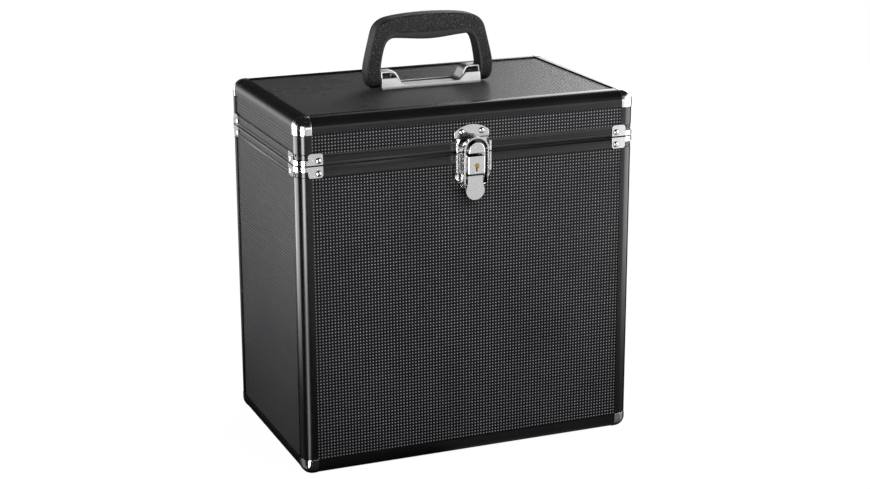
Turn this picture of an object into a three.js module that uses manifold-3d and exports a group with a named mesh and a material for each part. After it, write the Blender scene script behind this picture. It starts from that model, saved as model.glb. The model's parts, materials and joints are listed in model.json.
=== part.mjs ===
// Record carrying case: panels held in rounded aluminium edge profiles, a hinged lid with a
// draw latch, and a folding handle. Millimetres: X along the front, Y into the depth, Z up.
// The origin lies under the middle of the whole case, on the surface it stands on.
import * as THREE from 'three';
import { mergeVertices } from 'three/addons/utils/BufferGeometryUtils.js';
import { RoundedBoxGeometry } from 'three/addons/geometries/RoundedBoxGeometry.js';
import Module from 'manifold-3d';

const wasm = await Module();
wasm.setup();

// The case, measured over its edge profiles
const caseWidth = 355;
const caseDepth = 220;
const caseHeight = 359;
const lidHeight = 46;
const seamGap = 0.4;

// Panels and the clearances they sit with
const panelThickness = 5;
const slotClearance = 0.2;
const panelEndGap = 0.3;
const jointGap = 0.3;
const seatGap = 0.1;
const cutOverrun = 2;

// Edge profile: a rounded angle with two panel slots and a channel for the corner's spigots
const edgeRadius = 11;
const profileLeg = 15;
const lipThickness = 1.3;
const slotFloor = 9;
const innerFlangeThickness = 1.2;
const innerFlangeReach = 13;
const channelCentre = 5;
const channelRadius = 1.8;

// Seam frames of the body and the lid
const frameHeight = 11;
const frameSlotDepth = 4.5;
const frameGrooveWidth = 4.6;
const frameGrooveDepth = 0.5;
const tongueInset = 2.8;
const tongueThickness = 1.8;
const tongueHeight = 3.2;
const tongueSideGap = 0.5;
const tongueInnerGap = 1;
const tongueTopGap = 0.6;

// Cast three-way corners
const cornerProud = 0.4;
const cornerLeg = 15;
const cornerLegHeight = 16.5;
const spigotLength = 9;
const spigotGap = 0.3;

// Pressed brackets that clasp the seam at each upright corner
const bracketThickness = 1.2;
const bracketReach = 25.3;
const bracketTabHeight = 11.6;
const bracketBandHeight = 4.6;
const bracketTabRadius = 2.6;

// Soft lining
const liningThickness = 2;
const liningGap = 0.3;
const liningSeamDrop = 3;

// Latch, fixed plates
const latchWidth = 36.5;
const latchSheet = 1.5;
const latchWallHeight = 6;
const basePlateDrop = 35.4;
const basePlateTaperDrop = 25;
const basePlateFootWidth = 21.6;
const catchShoulderRise = 19.6;
const catchDomeRise = 7;
const catchFoldRise = 13.4;
const latchSeamMargin = 0.5;

// Latch, nose on the lid
const noseRadius = 8.1;
const noseProud = 14;
const noseCentreRise = 3.5;
const noseBevel = 0.6;

// Latch, lock case and key barrel
const lockCaseWidth = 17.4;
const lockCaseTopDrop = 2.2;
const lockCaseBottomDrop = 20.6;
const lockCaseProud = 13;
const lockCaseRadius = 1.2;
const lockCaseBevel = 0.8;
const barrelDrop = 12.3;
const barrelRadius = 2.5;
const barrelLength = 8.5;
const barrelGap = 0.2;
const barrelFaceDrop = 0.3;
const keySlitWidth = 0.8;
const keySlitLength = 3.4;
const keySlitDepth = 2;
const keyholeSlotWidth = 1.8;
const keyholeSlotReach = 5.3;
const keyholeSlotDepth = 3;

// Latch, lever on its pin
const leverPivotDrop = 24.4;
const leverPivotProud = 7;
const leverWidth = 15.9;
const leverSheet = 1.2;
const leverProud = 9.8;
const leverTopDrop = 22.6;
const leverFlareDrop = 29;
const leverWideDrop = 38.5;
const leverWideWidth = 19.4;
const leverTipDrop = 46.8;
const leverHubRadius = 2.3;
const leverWallFootDrop = 43.5;
const pinRadius = 1.5;
const pinHoleGap = 0.05;
const pinRunningGap = 0.2;
const earGap = 0.4;
const earThickness = 1.2;
const earRadius = 2.5;

// Latch, draw loop on the lever's trunnions
const loopPivotDrop = 31.4;
const loopPivotProud = 6.2;
const loopRadius = 13;
const loopSheet = 1.5;
const loopProud = 13;
const loopDepth = 6;
const loopWebDepth = 2;
const loopNoseGap = 0.5;
const loopFootRadius = 4.6;
const loopFootCentreProud = 8;
const loopFootFlareDrop = 16;
const trunnionRadius = 1.6;
const trunnionShoulderRadius = 2.5;
const trunnionGap = 0.3;
const trunnionEnd = 0.4;

// Continuous hinge along the back of the seam
const hingeEndMargin = 28.5;
const hingeSheet = 1.5;
const hingeLeafHeight = 23;
const hingeAxisProud = 3.8;
const knuckleRadius = 3.4;
const knuckleCount = 11;
const knuckleEndGap = 0.3;
const knuckleNotchGap = 0.5;
const hingePinRadius = 1.5;
const hingePinGap = 0.1;

// Handle mount: a tray on the lid and the bridge plate that traps the handle's bosses
const mountSetback = 4;
const mountLength = 107;
const mountDepth = 24;
const mountSheet = 1.4;
const trayEarHeight = 11.5;
const trayWaistHeight = 4.4;
const trayEarLength = 15.5;
const trayShoulderLength = 8;
const bridgeHeight = 18;
const bridgeEarLength = 12.5;
const bridgeShoulderLength = 13.5;
const bridgeSideGap = 0.3;

// Handle: a bail moulded in one piece with its pivot bosses
const bailArmWidth = 14.7;
const bailHeight = 74.3;
const bailDepth = 21;
const bailRounding = 3.5;
const bailPivotHeight = 11.2;
const bailFootGap = 0.8;
const bailBossRadius = 4.8;
const bailBossLength = 11.5;
const bailBossGap = 0.4;

// How finely round shapes are faceted, and how near points count as one
const edgeSegments = 6;
const smallSegments = 12;
const pinSegments = 16;
const knuckleSegments = 12;
const roundingSegments = 3;
const mergeTolerance = 0.0001;
const pointSpacing = 0.1;

// Sizes that follow from those above
const slotInner = lipThickness + panelThickness + 2 * slotClearance;
const profileDepth = slotInner + innerFlangeThickness;
const panelInset = lipThickness + slotClearance;
const panelStart = slotFloor + panelEndGap;
const hingeProud = hingeAxisProud + knuckleRadius;
const hingeLength = caseWidth - 2 * hingeEndMargin;
const halfWidth = caseWidth / 2;
const yFront = -caseDepth / 2 + (noseProud - hingeProud) / 2;
const yBack = yFront + caseDepth;
const zBase = cornerProud;
const zTop = zBase + caseHeight;
const zSeam = zTop - lidHeight;
const zBodyTop = zSeam - seamGap / 2;
const zLidBottom = zSeam + seamGap / 2;
const bodyFrameBottom = zSeam - frameHeight;
const lidFrameTop = zSeam + frameHeight;
const yMiddle = (yFront + yBack) / 2;
const corners = [
  { name: 'front_left', sx: -1, sy: -1 },
  { name: 'front_right', sx: 1, sy: -1 },
  { name: 'back_left', sx: -1, sy: 1 },
  { name: 'back_right', sx: 1, sy: 1 },
];

const unitX = new THREE.Vector3(1, 0, 0);
const unitY = new THREE.Vector3(0, 1, 0);
const unitZ = new THREE.Vector3(0, 0, 1);
const group = new THREE.Group();

// Geometry helpers

// Moves a geometry by a matrix, and turns its triangles over when the matrix mirrors it.
function mapped(geometry, matrix) {
  const result = geometry.index ? geometry.toNonIndexed() : geometry.clone();
  result.applyMatrix4(matrix);
  if (matrix.determinant() < 0) {
    const position = result.getAttribute('position');
    for (let i = 0; i < position.count; i += 3) {
      const first = new THREE.Vector3().fromBufferAttribute(position, i);
      const second = new THREE.Vector3().fromBufferAttribute(position, i + 1);
      position.setXYZ(i, second.x, second.y, second.z);
      position.setXYZ(i + 1, first.x, first.y, first.z);
    }
  }
  return result;
}

// Makes a solid that can be joined and cut from a closed geometry.
function solid(geometry) {
  const bare = geometry.index ? geometry.toNonIndexed() : geometry.clone();
  bare.deleteAttribute('normal');
  bare.deleteAttribute('uv');
  const merged = mergeVertices(bare, mergeTolerance);
  const vertProperties = new Float32Array(merged.getAttribute('position').array);
  const triVerts = new Uint32Array(merged.getIndex().array);
  return new wasm.Manifold(new wasm.Mesh({ numProp: 3, vertProperties, triVerts }));
}

function geometryOf(body) {
  const mesh = body.getMesh();
  const geometry = new THREE.BufferGeometry();
  geometry.setAttribute('position', new THREE.BufferAttribute(new Float32Array(mesh.vertProperties), 3));
  geometry.setIndex(new THREE.BufferAttribute(new Uint32Array(mesh.triVerts), 1));
  geometry.computeVertexNormals();
  return geometry;
}

function placement(uDirection, vDirection, tDirection, origin) {
  return new THREE.Matrix4().makeBasis(uDirection, vDirection, tDirection).setPosition(origin);
}

// Extrudes a shape drawn in (u, v) by a length along t.
function extruded(shape, length, matrix, options = {}) {
  const settings = { depth: length, bevelEnabled: false, curveSegments: edgeSegments, ...options };
  return solid(mapped(new THREE.ExtrudeGeometry(shape, settings), matrix));
}

function box(x0, x1, y0, y1, z0, z1) {
  const geometry = new THREE.BoxGeometry(x1 - x0, y1 - y0, z1 - z0);
  geometry.translate((x0 + x1) / 2, (y0 + y1) / 2, (z0 + z1) / 2);
  return solid(geometry);
}

// A round bar along X between two places, about an axis at (y, z).
function barX(radius, x0, x1, y, z, segments = pinSegments) {
  const geometry = new THREE.CylinderGeometry(radius, radius, x1 - x0, segments);
  geometry.rotateZ(-Math.PI / 2);
  geometry.translate((x0 + x1) / 2, y, z);
  return solid(geometry);
}

function barY(radius, y0, y1, x, z, segments = pinSegments) {
  const geometry = new THREE.CylinderGeometry(radius, radius, y1 - y0, segments);
  geometry.translate(x, (y0 + y1) / 2, z);
  return solid(geometry);
}

// A shape drawn as seen from the front, extruded between two distances outward of the front face.
function frontPlate(shape, proud0, proud1, options = {}) {
  const matrix = placement(unitX, unitZ, unitY.clone().negate(), new THREE.Vector3(0, yFront - proud0, 0));
  return extruded(shape, proud1 - proud0, matrix, options);
}

// A shape drawn in (distance outward of the front face, height), extruded along X.
function sidePlate(shape, x0, x1) {
  const matrix = placement(unitY.clone().negate(), unitZ, unitX, new THREE.Vector3(x0, yFront, 0));
  return extruded(shape, x1 - x0, matrix);
}

// A shape drawn in (x, height), extruded along Y about the middle of the lid.
function liddedPlate(shape, y0, y1, z, options = {}) {
  const matrix = placement(unitX, unitZ, unitY.clone().negate(), new THREE.Vector3(0, y1, z));
  return extruded(shape, y1 - y0, matrix, options);
}

function polygon(points) {
  return new THREE.Shape(points.map(([u, v]) => new THREE.Vector2(u, v)));
}

function circlePath(u, v, radius) {
  return new THREE.Path().absarc(u, v, radius, 0, 2 * Math.PI, true);
}

function roundedRectangle(u0, u1, v0, v1, radius, kind = THREE.Shape) {
  const path = new kind();
  path.moveTo(u0 + radius, v0);
  path.lineTo(u1 - radius, v0);
  path.absarc(u1 - radius, v0 + radius, radius, -Math.PI / 2, 0, false);
  path.lineTo(u1, v1 - radius);
  path.absarc(u1 - radius, v1 - radius, radius, 0, Math.PI / 2, false);
  path.lineTo(u0 + radius, v1);
  path.absarc(u0 + radius, v1 - radius, radius, Math.PI / 2, Math.PI, false);
  path.lineTo(u0, v0 + radius);
  path.absarc(u0 + radius, v0 + radius, radius, Math.PI, 1.5 * Math.PI, false);
  return path;
}

function material(color, roughness, metalness) {
  return () => new THREE.MeshStandardMaterial({ color, roughness, metalness });
}

const anodised = material(0x2a2a2d, 0.38, 0.75);
const laminate = material(0x1c1c1f, 0.55, 0);
const chrome = material(0xc9c9cb, 0.16, 1);
const steel = material(0x9a9a9d, 0.3, 1);
const brass = material(0xb58a3c, 0.3, 1);
const plastic = material(0x242426, 0.6, 0);
const felt = material(0x161617, 0.95, 0);

function add(name, body, makeMaterial) {
  const mesh = new THREE.Mesh(geometryOf(body), makeMaterial());
  mesh.name = name;
  group.add(mesh);
}

// Edge profile

function profileSection() {
  const shape = new THREE.Shape();
  shape.moveTo(profileLeg, 0);
  shape.lineTo(profileLeg, lipThickness);
  shape.lineTo(slotFloor, lipThickness);
  shape.lineTo(slotFloor, slotInner);
  shape.lineTo(innerFlangeReach, slotInner);
  shape.lineTo(innerFlangeReach, profileDepth);
  shape.lineTo(profileDepth, profileDepth);
  shape.lineTo(profileDepth, innerFlangeReach);
  shape.lineTo(slotInner, innerFlangeReach);
  shape.lineTo(slotInner, slotFloor);
  shape.lineTo(lipThickness, slotFloor);
  shape.lineTo(lipThickness, profileLeg);
  shape.lineTo(0, profileLeg);
  shape.lineTo(0, edgeRadius);
  shape.absarc(edgeRadius, edgeRadius, edgeRadius, Math.PI, 1.5 * Math.PI, false);
  shape.holes.push(circlePath(channelCentre, channelCentre, channelRadius));
  return shape;
}

// One length of profile: u and v point inward from its sharp edge, t runs along it.
function profileLength(length, uDirection, vDirection, tDirection, origin) {
  return extruded(profileSection(), length, placement(uDirection, vDirection, tDirection, origin));
}

function cornerY(sy) {
  return sy < 0 ? yFront : yBack;
}

function addPosts() {
  const spans = [
    { prefix: 'body_post_', z0: zBase + cornerLegHeight + jointGap, z1: bodyFrameBottom - jointGap },
    { prefix: 'lid_post_', z0: lidFrameTop + jointGap, z1: zTop - cornerLegHeight - jointGap },
  ];
  for (const { prefix, z0, z1 } of spans) {
    for (const { name, sx, sy } of corners) {
      const uDirection = unitX.clone().multiplyScalar(-sx);
      const vDirection = unitY.clone().multiplyScalar(-sy);
      const origin = new THREE.Vector3(sx * halfWidth, cornerY(sy), z0);
      add(prefix + name, profileLength(z1 - z0, uDirection, vDirection, unitZ, origin), anodised);
    }
  }
}

function addRails() {
  const inset = cornerLeg + jointGap;
  const levels = [
    { prefix: 'bottom_rail_', z: zBase, up: unitZ },
    { prefix: 'top_rail_', z: zTop, up: unitZ.clone().negate() },
  ];
  for (const { prefix, z, up } of levels) {
    for (const [name, sy] of [['front', -1], ['back', 1]]) {
      const inward = unitY.clone().multiplyScalar(-sy);
      const origin = new THREE.Vector3(-halfWidth + inset, cornerY(sy), z);
      add(prefix + name, profileLength(caseWidth - 2 * inset, inward, up, unitX, origin), anodised);
    }
    for (const [name, sx] of [['left', -1], ['right', 1]]) {
      const inward = unitX.clone().multiplyScalar(-sx);
      const origin = new THREE.Vector3(sx * halfWidth, yFront + inset, z);
      add(prefix + name, profileLength(caseDepth - 2 * inset, inward, up, unitY, origin), anodised);
    }
  }
}

// Panels

function addPanels() {
  const x = halfWidth - panelStart;
  const walls = [
    { prefix: 'body_', z0: zBase + panelStart, z1: bodyFrameBottom + frameSlotDepth - panelEndGap },
    { prefix: 'lid_', z0: lidFrameTop - frameSlotDepth + panelEndGap, z1: zTop - panelStart },
  ];
  const outer = panelInset;
  const inner = panelInset + panelThickness;
  for (const { prefix, z0, z1 } of walls) {
    add(prefix + 'front_panel', box(-x, x, yFront + outer, yFront + inner, z0, z1), laminate);
    add(prefix + 'back_panel', box(-x, x, yBack - inner, yBack - outer, z0, z1), laminate);
    const y0 = yFront + panelStart;
    const y1 = yBack - panelStart;
    add(prefix + 'left_panel', box(-halfWidth + outer, -halfWidth + inner, y0, y1, z0, z1), laminate);
    add(prefix + 'right_panel', box(halfWidth - inner, halfWidth - outer, y0, y1, z0, z1), laminate);
  }
  const y = [yFront + panelStart, yBack - panelStart];
  add('bottom_panel', box(-x, x, y[0], y[1], zBase + outer, zBase + inner), laminate);
  add('lid_top_panel', box(-x, x, y[0], y[1], zTop - inner, zTop - outer), laminate);
}

// Seam frames

// The outline of the case drawn inward by an inset, as a path with rounded corners.
function caseOutline(inset, kind = THREE.Shape) {
  const radius = edgeRadius - inset;
  return roundedRectangle(-halfWidth + inset, halfWidth - inset, yFront + inset, yBack - inset, radius, kind);
}

function ring(outerInset, innerInset, z0, z1) {
  const shape = caseOutline(outerInset);
  shape.holes.push(caseOutline(innerInset, THREE.Path));
  return extruded(shape, z1 - z0, new THREE.Matrix4().makeTranslation(0, 0, z0));
}

// A frame from its seam face to its far edge, with the slot that takes the panels' ends.
function frameBlank(zFace, zEdge) {
  const away = Math.sign(zEdge - zFace);
  const middle = (zFace + zEdge) / 2;
  const slotEnds = [zEdge - away * frameSlotDepth, zEdge + away * cutOverrun].sort((a, b) => a - b);
  const blank = ring(0, profileDepth, Math.min(zFace, zEdge), Math.max(zFace, zEdge));
  const groove = ring(-cutOverrun, frameGrooveDepth, middle - frameGrooveWidth / 2,
    middle + frameGrooveWidth / 2);
  return blank.subtract(ring(lipThickness, slotInner, slotEnds[0], slotEnds[1])).subtract(groove);
}

function addSeamFrames() {
  const tongueEnd = tongueInset + tongueThickness;
  const tongueRoot = zBodyTop - tongueHeight;
  const tongue = ring(tongueInset, tongueEnd, tongueRoot, zBodyTop + tongueHeight);
  const grooveOuter = tongueInset - tongueSideGap;
  const grooveInner = tongueEnd + tongueInnerGap;
  const grooveTop = zBodyTop + tongueHeight + tongueTopGap;
  const groove = ring(grooveOuter, grooveInner, zLidBottom - cutOverrun, grooveTop);
  add('body_seam_frame', frameBlank(zBodyTop, bodyFrameBottom).add(tongue), anodised);
  add('lid_seam_frame', frameBlank(zLidBottom, lidFrameTop).subtract(groove), anodised);
}

// Three-way corners: drawn with their sharp corner at the origin and every leg pointing to plus.

function threeWayCorner() {
  const far = 2 * cornerLegHeight;
  const blank = new RoundedBoxGeometry(far, far, far, roundingSegments, edgeRadius + cornerProud);
  blank.translate(far / 2 - cornerProud, far / 2 - cornerProud, far / 2 - cornerProud);
  const start = -cornerProud - cutOverrun;
  let body = solid(blank).intersect(box(start, cornerLeg, start, cornerLeg, start, cornerLegHeight));
  body = body.subtract(box(profileDepth, far, profileDepth, far, profileDepth, far));
  body = body.subtract(box(lipThickness, slotInner, slotFloor, far, slotFloor, far));
  body = body.subtract(box(slotFloor, far, lipThickness, slotInner, slotFloor, far));
  body = body.subtract(box(slotFloor, far, slotFloor, far, lipThickness, slotInner));
  const radius = channelRadius - spigotGap;
  const legs = [[unitX, cornerLeg], [unitY, cornerLeg], [unitZ, cornerLegHeight]];
  for (const [direction, leg] of legs) {
    const length = spigotLength + leg / 2;
    const spigot = new THREE.CylinderGeometry(radius, radius, length, smallSegments);
    spigot.applyQuaternion(new THREE.Quaternion().setFromUnitVectors(unitY, direction));
    const centre = new THREE.Vector3(channelCentre, channelCentre, channelCentre);
    centre.addScaledVector(direction, leg / 2 + length / 2 - channelCentre);
    spigot.translate(centre.x, centre.y, centre.z);
    body = body.add(solid(spigot));
  }
  return geometryOf(body);
}

function addThreeWayCorners() {
  const shape = threeWayCorner();
  for (const [prefix, z, sz] of [['bottom_corner_', zBase, 1], ['top_corner_', zTop, -1]]) {
    for (const { name, sx, sy } of corners) {
      const matrix = new THREE.Matrix4().makeScale(-sx, -sy, sz).setPosition(sx * halfWidth, cornerY(sy), z);
      add(prefix + name, solid(mapped(shape, matrix)), chrome);
    }
  }
}

// Seam brackets: two tabs joined by a band that wraps the rounded corner, drawn upward of the seam.

function bracketTab() {
  const r = bracketTabRadius;
  const shape = new THREE.Shape();
  shape.moveTo(edgeRadius, 0);
  shape.lineTo(bracketReach, 0);
  shape.lineTo(bracketReach, bracketTabHeight - r);
  shape.absarc(bracketReach - r, bracketTabHeight - r, r, 0, Math.PI / 2, false);
  shape.lineTo(edgeRadius + r, bracketTabHeight);
  shape.absarc(edgeRadius + r, bracketTabHeight - r, r, Math.PI / 2, Math.PI, false);
  return shape;
}

function seamBracket() {
  const outer = seatGap + bracketThickness;
  const wrap = new THREE.Shape();
  wrap.moveTo(bracketReach, -outer);
  wrap.lineTo(bracketReach, -seatGap);
  wrap.lineTo(edgeRadius, -seatGap);
  wrap.absarc(edgeRadius, edgeRadius, edgeRadius + seatGap, 1.5 * Math.PI, Math.PI, true);
  wrap.lineTo(-seatGap, bracketReach);
  wrap.lineTo(-outer, bracketReach);
  wrap.lineTo(-outer, edgeRadius);
  wrap.absarc(edgeRadius, edgeRadius, edgeRadius + outer, Math.PI, 1.5 * Math.PI, false);
  const shell = extruded(wrap, bracketTabHeight, new THREE.Matrix4());
  const start = -outer - cutOverrun;
  const depth = cutOverrun - start;
  const frontPlace = placement(unitX, unitZ, unitY, new THREE.Vector3(0, start, 0));
  const sidePlace = placement(unitY, unitZ, unitX, new THREE.Vector3(start, 0, 0));
  const frontTab = extruded(bracketTab(), depth, frontPlace);
  const sideTab = extruded(bracketTab(), depth, sidePlace);
  const bandEnd = edgeRadius + bracketTabRadius;
  const band = box(start, bandEnd, start, bandEnd, 0, bracketBandHeight);
  return geometryOf(shell.intersect(frontTab.add(sideTab).add(band)));
}

function addSeamBrackets() {
  const shape = seamBracket();
  for (const [prefix, z, sz] of [['body_bracket_', zBodyTop, -1], ['lid_bracket_', zLidBottom, 1]]) {
    for (const { name, sx, sy } of corners) {
      const matrix = new THREE.Matrix4().makeScale(-sx, -sy, sz).setPosition(sx * halfWidth, cornerY(sy), z);
      add(prefix + name, solid(mapped(shape, matrix)), chrome);
    }
  }
}

// Linings: open trays of soft sheet

function caseBlock(inset, z0, z1) {
  return extruded(caseOutline(inset), z1 - z0, new THREE.Matrix4().makeTranslation(0, 0, z0));
}

function addLinings() {
  const outer = profileDepth + liningGap;
  const inner = outer + liningThickness;
  const bodyTop = zSeam - liningSeamDrop;
  const body = caseBlock(outer, zBase + outer, bodyTop);
  add('body_lining', body.subtract(caseBlock(inner, zBase + inner, bodyTop + cutOverrun)), felt);
  const lidBottom = zSeam + liningSeamDrop;
  const lid = caseBlock(outer, lidBottom, zTop - outer);
  add('lid_lining', lid.subtract(caseBlock(inner, lidBottom - cutOverrun, zTop - inner)), felt);
}

// Latch

const latchHalf = latchWidth / 2;
const sheetBack = seatGap;
const sheetFront = seatGap + latchSheet;
const leverPivotZ = zSeam - leverPivotDrop;
const loopPivotZ = zSeam - loopPivotDrop;
const noseCentreZ = zSeam + noseCentreRise;
const earInner = leverWidth / 2 + earGap;
const earOuter = earInner + earThickness;

function basePlate() {
  const top = zSeam - latchSeamMargin;
  const taper = zSeam - basePlateTaperDrop;
  const foot = zSeam - basePlateDrop;
  const half = basePlateFootWidth / 2;
  const outline = polygon([[-latchHalf, top], [-latchHalf, taper], [-half, foot], [half, foot],
    [latchHalf, taper], [latchHalf, top]]);
  let body = frontPlate(outline, sheetBack, sheetFront);
  const wall = polygon([[sheetBack, top], [latchWallHeight, top], [latchWallHeight, taper + latchWallHeight],
    [sheetBack, taper]]);
  const earTip = new THREE.Shape();
  earTip.moveTo(sheetBack, leverPivotZ - earRadius);
  earTip.lineTo(leverPivotProud, leverPivotZ - earRadius);
  earTip.absarc(leverPivotProud, leverPivotZ, earRadius, -Math.PI / 2, Math.PI / 2, false);
  earTip.lineTo(sheetBack, leverPivotZ + earRadius);
  for (const side of [-1, 1]) {
    const walls = [side * (latchHalf - latchSheet), side * latchHalf].sort((a, b) => a - b);
    const ears = [side * earInner, side * earOuter].sort((a, b) => a - b);
    body = body.add(sidePlate(wall, walls[0], walls[1])).add(sidePlate(earTip, ears[0], ears[1]));
  }
  return body.subtract(pinBar(pinRadius + pinHoleGap, latchHalf));
}

function pinBar(radius, half) {
  return barX(radius, -half, half, yFront - leverPivotProud, leverPivotZ);
}

function lockCase() {
  const half = lockCaseWidth / 2;
  const z0 = zSeam - lockCaseBottomDrop;
  const z1 = zSeam - lockCaseTopDrop;
  const outline = roundedRectangle(-half, half, z0, z1, lockCaseRadius);
  const bevel = { bevelEnabled: true, bevelThickness: lockCaseBevel, bevelSize: lockCaseBevel,
    bevelOffset: -lockCaseBevel, bevelSegments: roundingSegments, curveSegments: roundingSegments };
  const back = sheetFront + seatGap;
  const skirt = frontPlate(outline, back, back + lockCaseBevel, { curveSegments: roundingSegments });
  const block = frontPlate(outline, back + lockCaseBevel, lockCaseProud - lockCaseBevel, bevel);
  const z = zSeam - barrelDrop;
  const bore = barY(barrelRadius + barrelGap, yFront - lockCaseProud - cutOverrun,
    yFront - lockCaseProud + barrelLength + barrelFaceDrop + barrelGap, 0, z);
  const slotHalf = keyholeSlotWidth / 2;
  const slot = box(-slotHalf, slotHalf, yFront - lockCaseProud - cutOverrun,
    yFront - lockCaseProud + keyholeSlotDepth, z - keyholeSlotReach, z);
  return skirt.add(block).subtract(bore).subtract(slot);
}

function lockBarrel() {
  const z = zSeam - barrelDrop;
  const face = yFront - lockCaseProud + barrelFaceDrop;
  const slit = box(-keySlitWidth / 2, keySlitWidth / 2, face - cutOverrun, face + keySlitDepth,
    z - keySlitLength / 2, z + keySlitLength / 2);
  return barY(barrelRadius, face, face + barrelLength, 0, z).subtract(slit);
}

// The lever's outline from its top edge to its rounded tip, drawn in from the outside by a margin.
function leverOutline(margin, top) {
  const half = leverWidth / 2 - margin;
  const wide = leverWideWidth / 2 - margin;
  const zFlare = zSeam - leverFlareDrop;
  const zWide = zSeam - leverWideDrop;
  const zBend = (zFlare + zWide) / 2;
  const tip = leverTipDrop - leverWideDrop - margin;
  const radius = (wide * wide + tip * tip) / (2 * tip);
  const reach = Math.asin(wide / radius);
  const zCentre = zWide - tip + radius;
  const shape = new THREE.Shape();
  shape.moveTo(half, top);
  shape.lineTo(-half, top);
  shape.lineTo(-half, zFlare);
  shape.bezierCurveTo(-half, zBend, -wide, zBend, -wide, zWide);
  shape.absarc(0, zCentre, radius, -Math.PI / 2 - reach, -Math.PI / 2 + reach, false);
  shape.bezierCurveTo(wide, zBend, half, zBend, half, zFlare);
  return shape;
}

// The lever is a pressed dish: a face with a wall round its edge, deep at the pin and running out at the tip.
function latchLever() {
  const back = leverProud - leverSheet;
  const half = leverWidth / 2;
  const wide = leverWideWidth / 2;
  const top = zSeam - leverTopDrop;
  const profile = new THREE.Shape();
  profile.moveTo(leverProud, top);
  profile.lineTo(back, top);
  profile.lineTo(leverPivotProud, leverPivotZ + leverHubRadius);
  profile.absarc(leverPivotProud, leverPivotZ, leverHubRadius, Math.PI / 2, Math.PI, false);
  profile.lineTo(loopPivotProud - trunnionShoulderRadius, loopPivotZ);
  profile.lineTo(back, zSeam - leverWallFootDrop);
  profile.lineTo(back, zSeam - leverTipDrop - cutOverrun);
  profile.lineTo(leverProud, zSeam - leverTipDrop - cutOverrun);
  const solid = frontPlate(leverOutline(0, top), 0, leverProud).intersect(sidePlate(profile, -wide, wide));
  const hollow = frontPlate(leverOutline(leverSheet, top + cutOverrun), -cutOverrun, back);
  let body = solid.subtract(hollow);
  const y = yFront - loopPivotProud;
  const shoulder = loopRadius - loopSheet - trunnionGap;
  for (const side of [-1, 1]) {
    const shoulders = [side * (half - leverSheet), side * shoulder].sort((a, b) => a - b);
    const stubs = [side * (half - leverSheet), side * (loopRadius + trunnionEnd)].sort((a, b) => a - b);
    body = body.add(barX(trunnionShoulderRadius, shoulders[0], shoulders[1], y, loopPivotZ));
    body = body.add(barX(trunnionRadius, stubs[0], stubs[1], y, loopPivotZ));
  }
  return body.subtract(pinBar(pinRadius + pinRunningGap, latchHalf));
}

// The loop is a strip on edge, bent over the nose, with a web that bears on the nose's round top.
function latchLoop() {
  const inner = loopRadius - loopSheet;
  const foot = loopPivotZ - loopFootRadius;
  const strip = new THREE.Shape();
  strip.moveTo(loopRadius, foot);
  strip.absarc(0, noseCentreZ, loopRadius, 0, Math.PI, false);
  strip.lineTo(-loopRadius, foot);
  strip.lineTo(-inner, foot);
  strip.absarc(0, noseCentreZ, inner, Math.PI, 0, true);
  strip.lineTo(inner, foot);
  const side = new THREE.Shape();
  const back = loopProud - loopDepth;
  side.moveTo(loopProud, noseCentreZ + 2 * loopRadius);
  side.lineTo(back, noseCentreZ + 2 * loopRadius);
  side.lineTo(back, zSeam - loopFootFlareDrop);
  side.lineTo(loopFootCentreProud - loopFootRadius, loopPivotZ + loopFootRadius / 2);
  side.absarc(loopFootCentreProud, loopPivotZ + loopFootRadius / 2, loopFootRadius, Math.PI, 2 * Math.PI,
    false);
  side.lineTo(loopProud, zSeam - loopFootFlareDrop);
  const web = new THREE.Shape();
  const middle = loopRadius - loopSheet / 2;
  web.absarc(0, noseCentreZ, middle, 0, Math.PI, false);
  web.absarc(0, noseCentreZ, noseRadius + loopNoseGap, Math.PI, 0, true);
  const webbed = frontPlate(strip, 0, loopProud).intersect(sidePlate(side, -loopRadius, loopRadius));
  const hole = barX(trunnionRadius + trunnionGap, -latchHalf, latchHalf, yFront - loopPivotProud, loopPivotZ);
  return webbed.add(frontPlate(web, back, back + loopWebDepth)).subtract(hole);
}

function catchPlate() {
  const bottom = zSeam + latchSeamMargin;
  const fold = zSeam + catchFoldRise;
  const shoulder = zSeam + catchShoulderRise;
  const radius = (latchHalf * latchHalf + catchDomeRise * catchDomeRise) / (2 * catchDomeRise);
  const reach = Math.asin(latchHalf / radius);
  const dome = new THREE.Shape();
  dome.moveTo(-latchHalf, lidFrameTop + jointGap);
  dome.lineTo(latchHalf, lidFrameTop + jointGap);
  dome.lineTo(latchHalf, shoulder);
  const domeCentre = shoulder + catchDomeRise - radius;
  dome.absarc(0, domeCentre, radius, Math.PI / 2 - reach, Math.PI / 2 + reach, false);
  const lower = polygon([[-latchHalf, bottom], [latchHalf, bottom], [latchHalf, fold],
    [-latchHalf, fold]]);
  const panelFace = seatGap - panelInset;
  const upper = frontPlate(dome, panelFace, panelFace + latchSheet);
  let body = frontPlate(lower, sheetBack, sheetFront).add(upper);
  const wall = polygon([[sheetBack, bottom], [latchWallHeight, bottom],
    [latchWallHeight, fold - latchWallHeight / 2], [sheetFront, fold], [sheetBack, fold]]);
  for (const side of [-1, 1]) {
    const walls = [side * (latchHalf - latchSheet), side * latchHalf].sort((a, b) => a - b);
    body = body.add(sidePlate(wall, walls[0], walls[1]));
  }
  const nose = new THREE.Shape();
  nose.moveTo(-noseRadius, bottom);
  nose.lineTo(noseRadius, bottom);
  nose.absarc(0, noseCentreZ, noseRadius, 0, Math.PI, false);
  const bevel = { bevelEnabled: true, bevelThickness: noseBevel, bevelSize: noseBevel,
    bevelOffset: -noseBevel, bevelSegments: roundingSegments };
  const head = frontPlate(nose, latchWallHeight, noseProud - noseBevel, bevel);
  return body.add(frontPlate(nose, sheetBack, latchWallHeight)).add(head);
}

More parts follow.
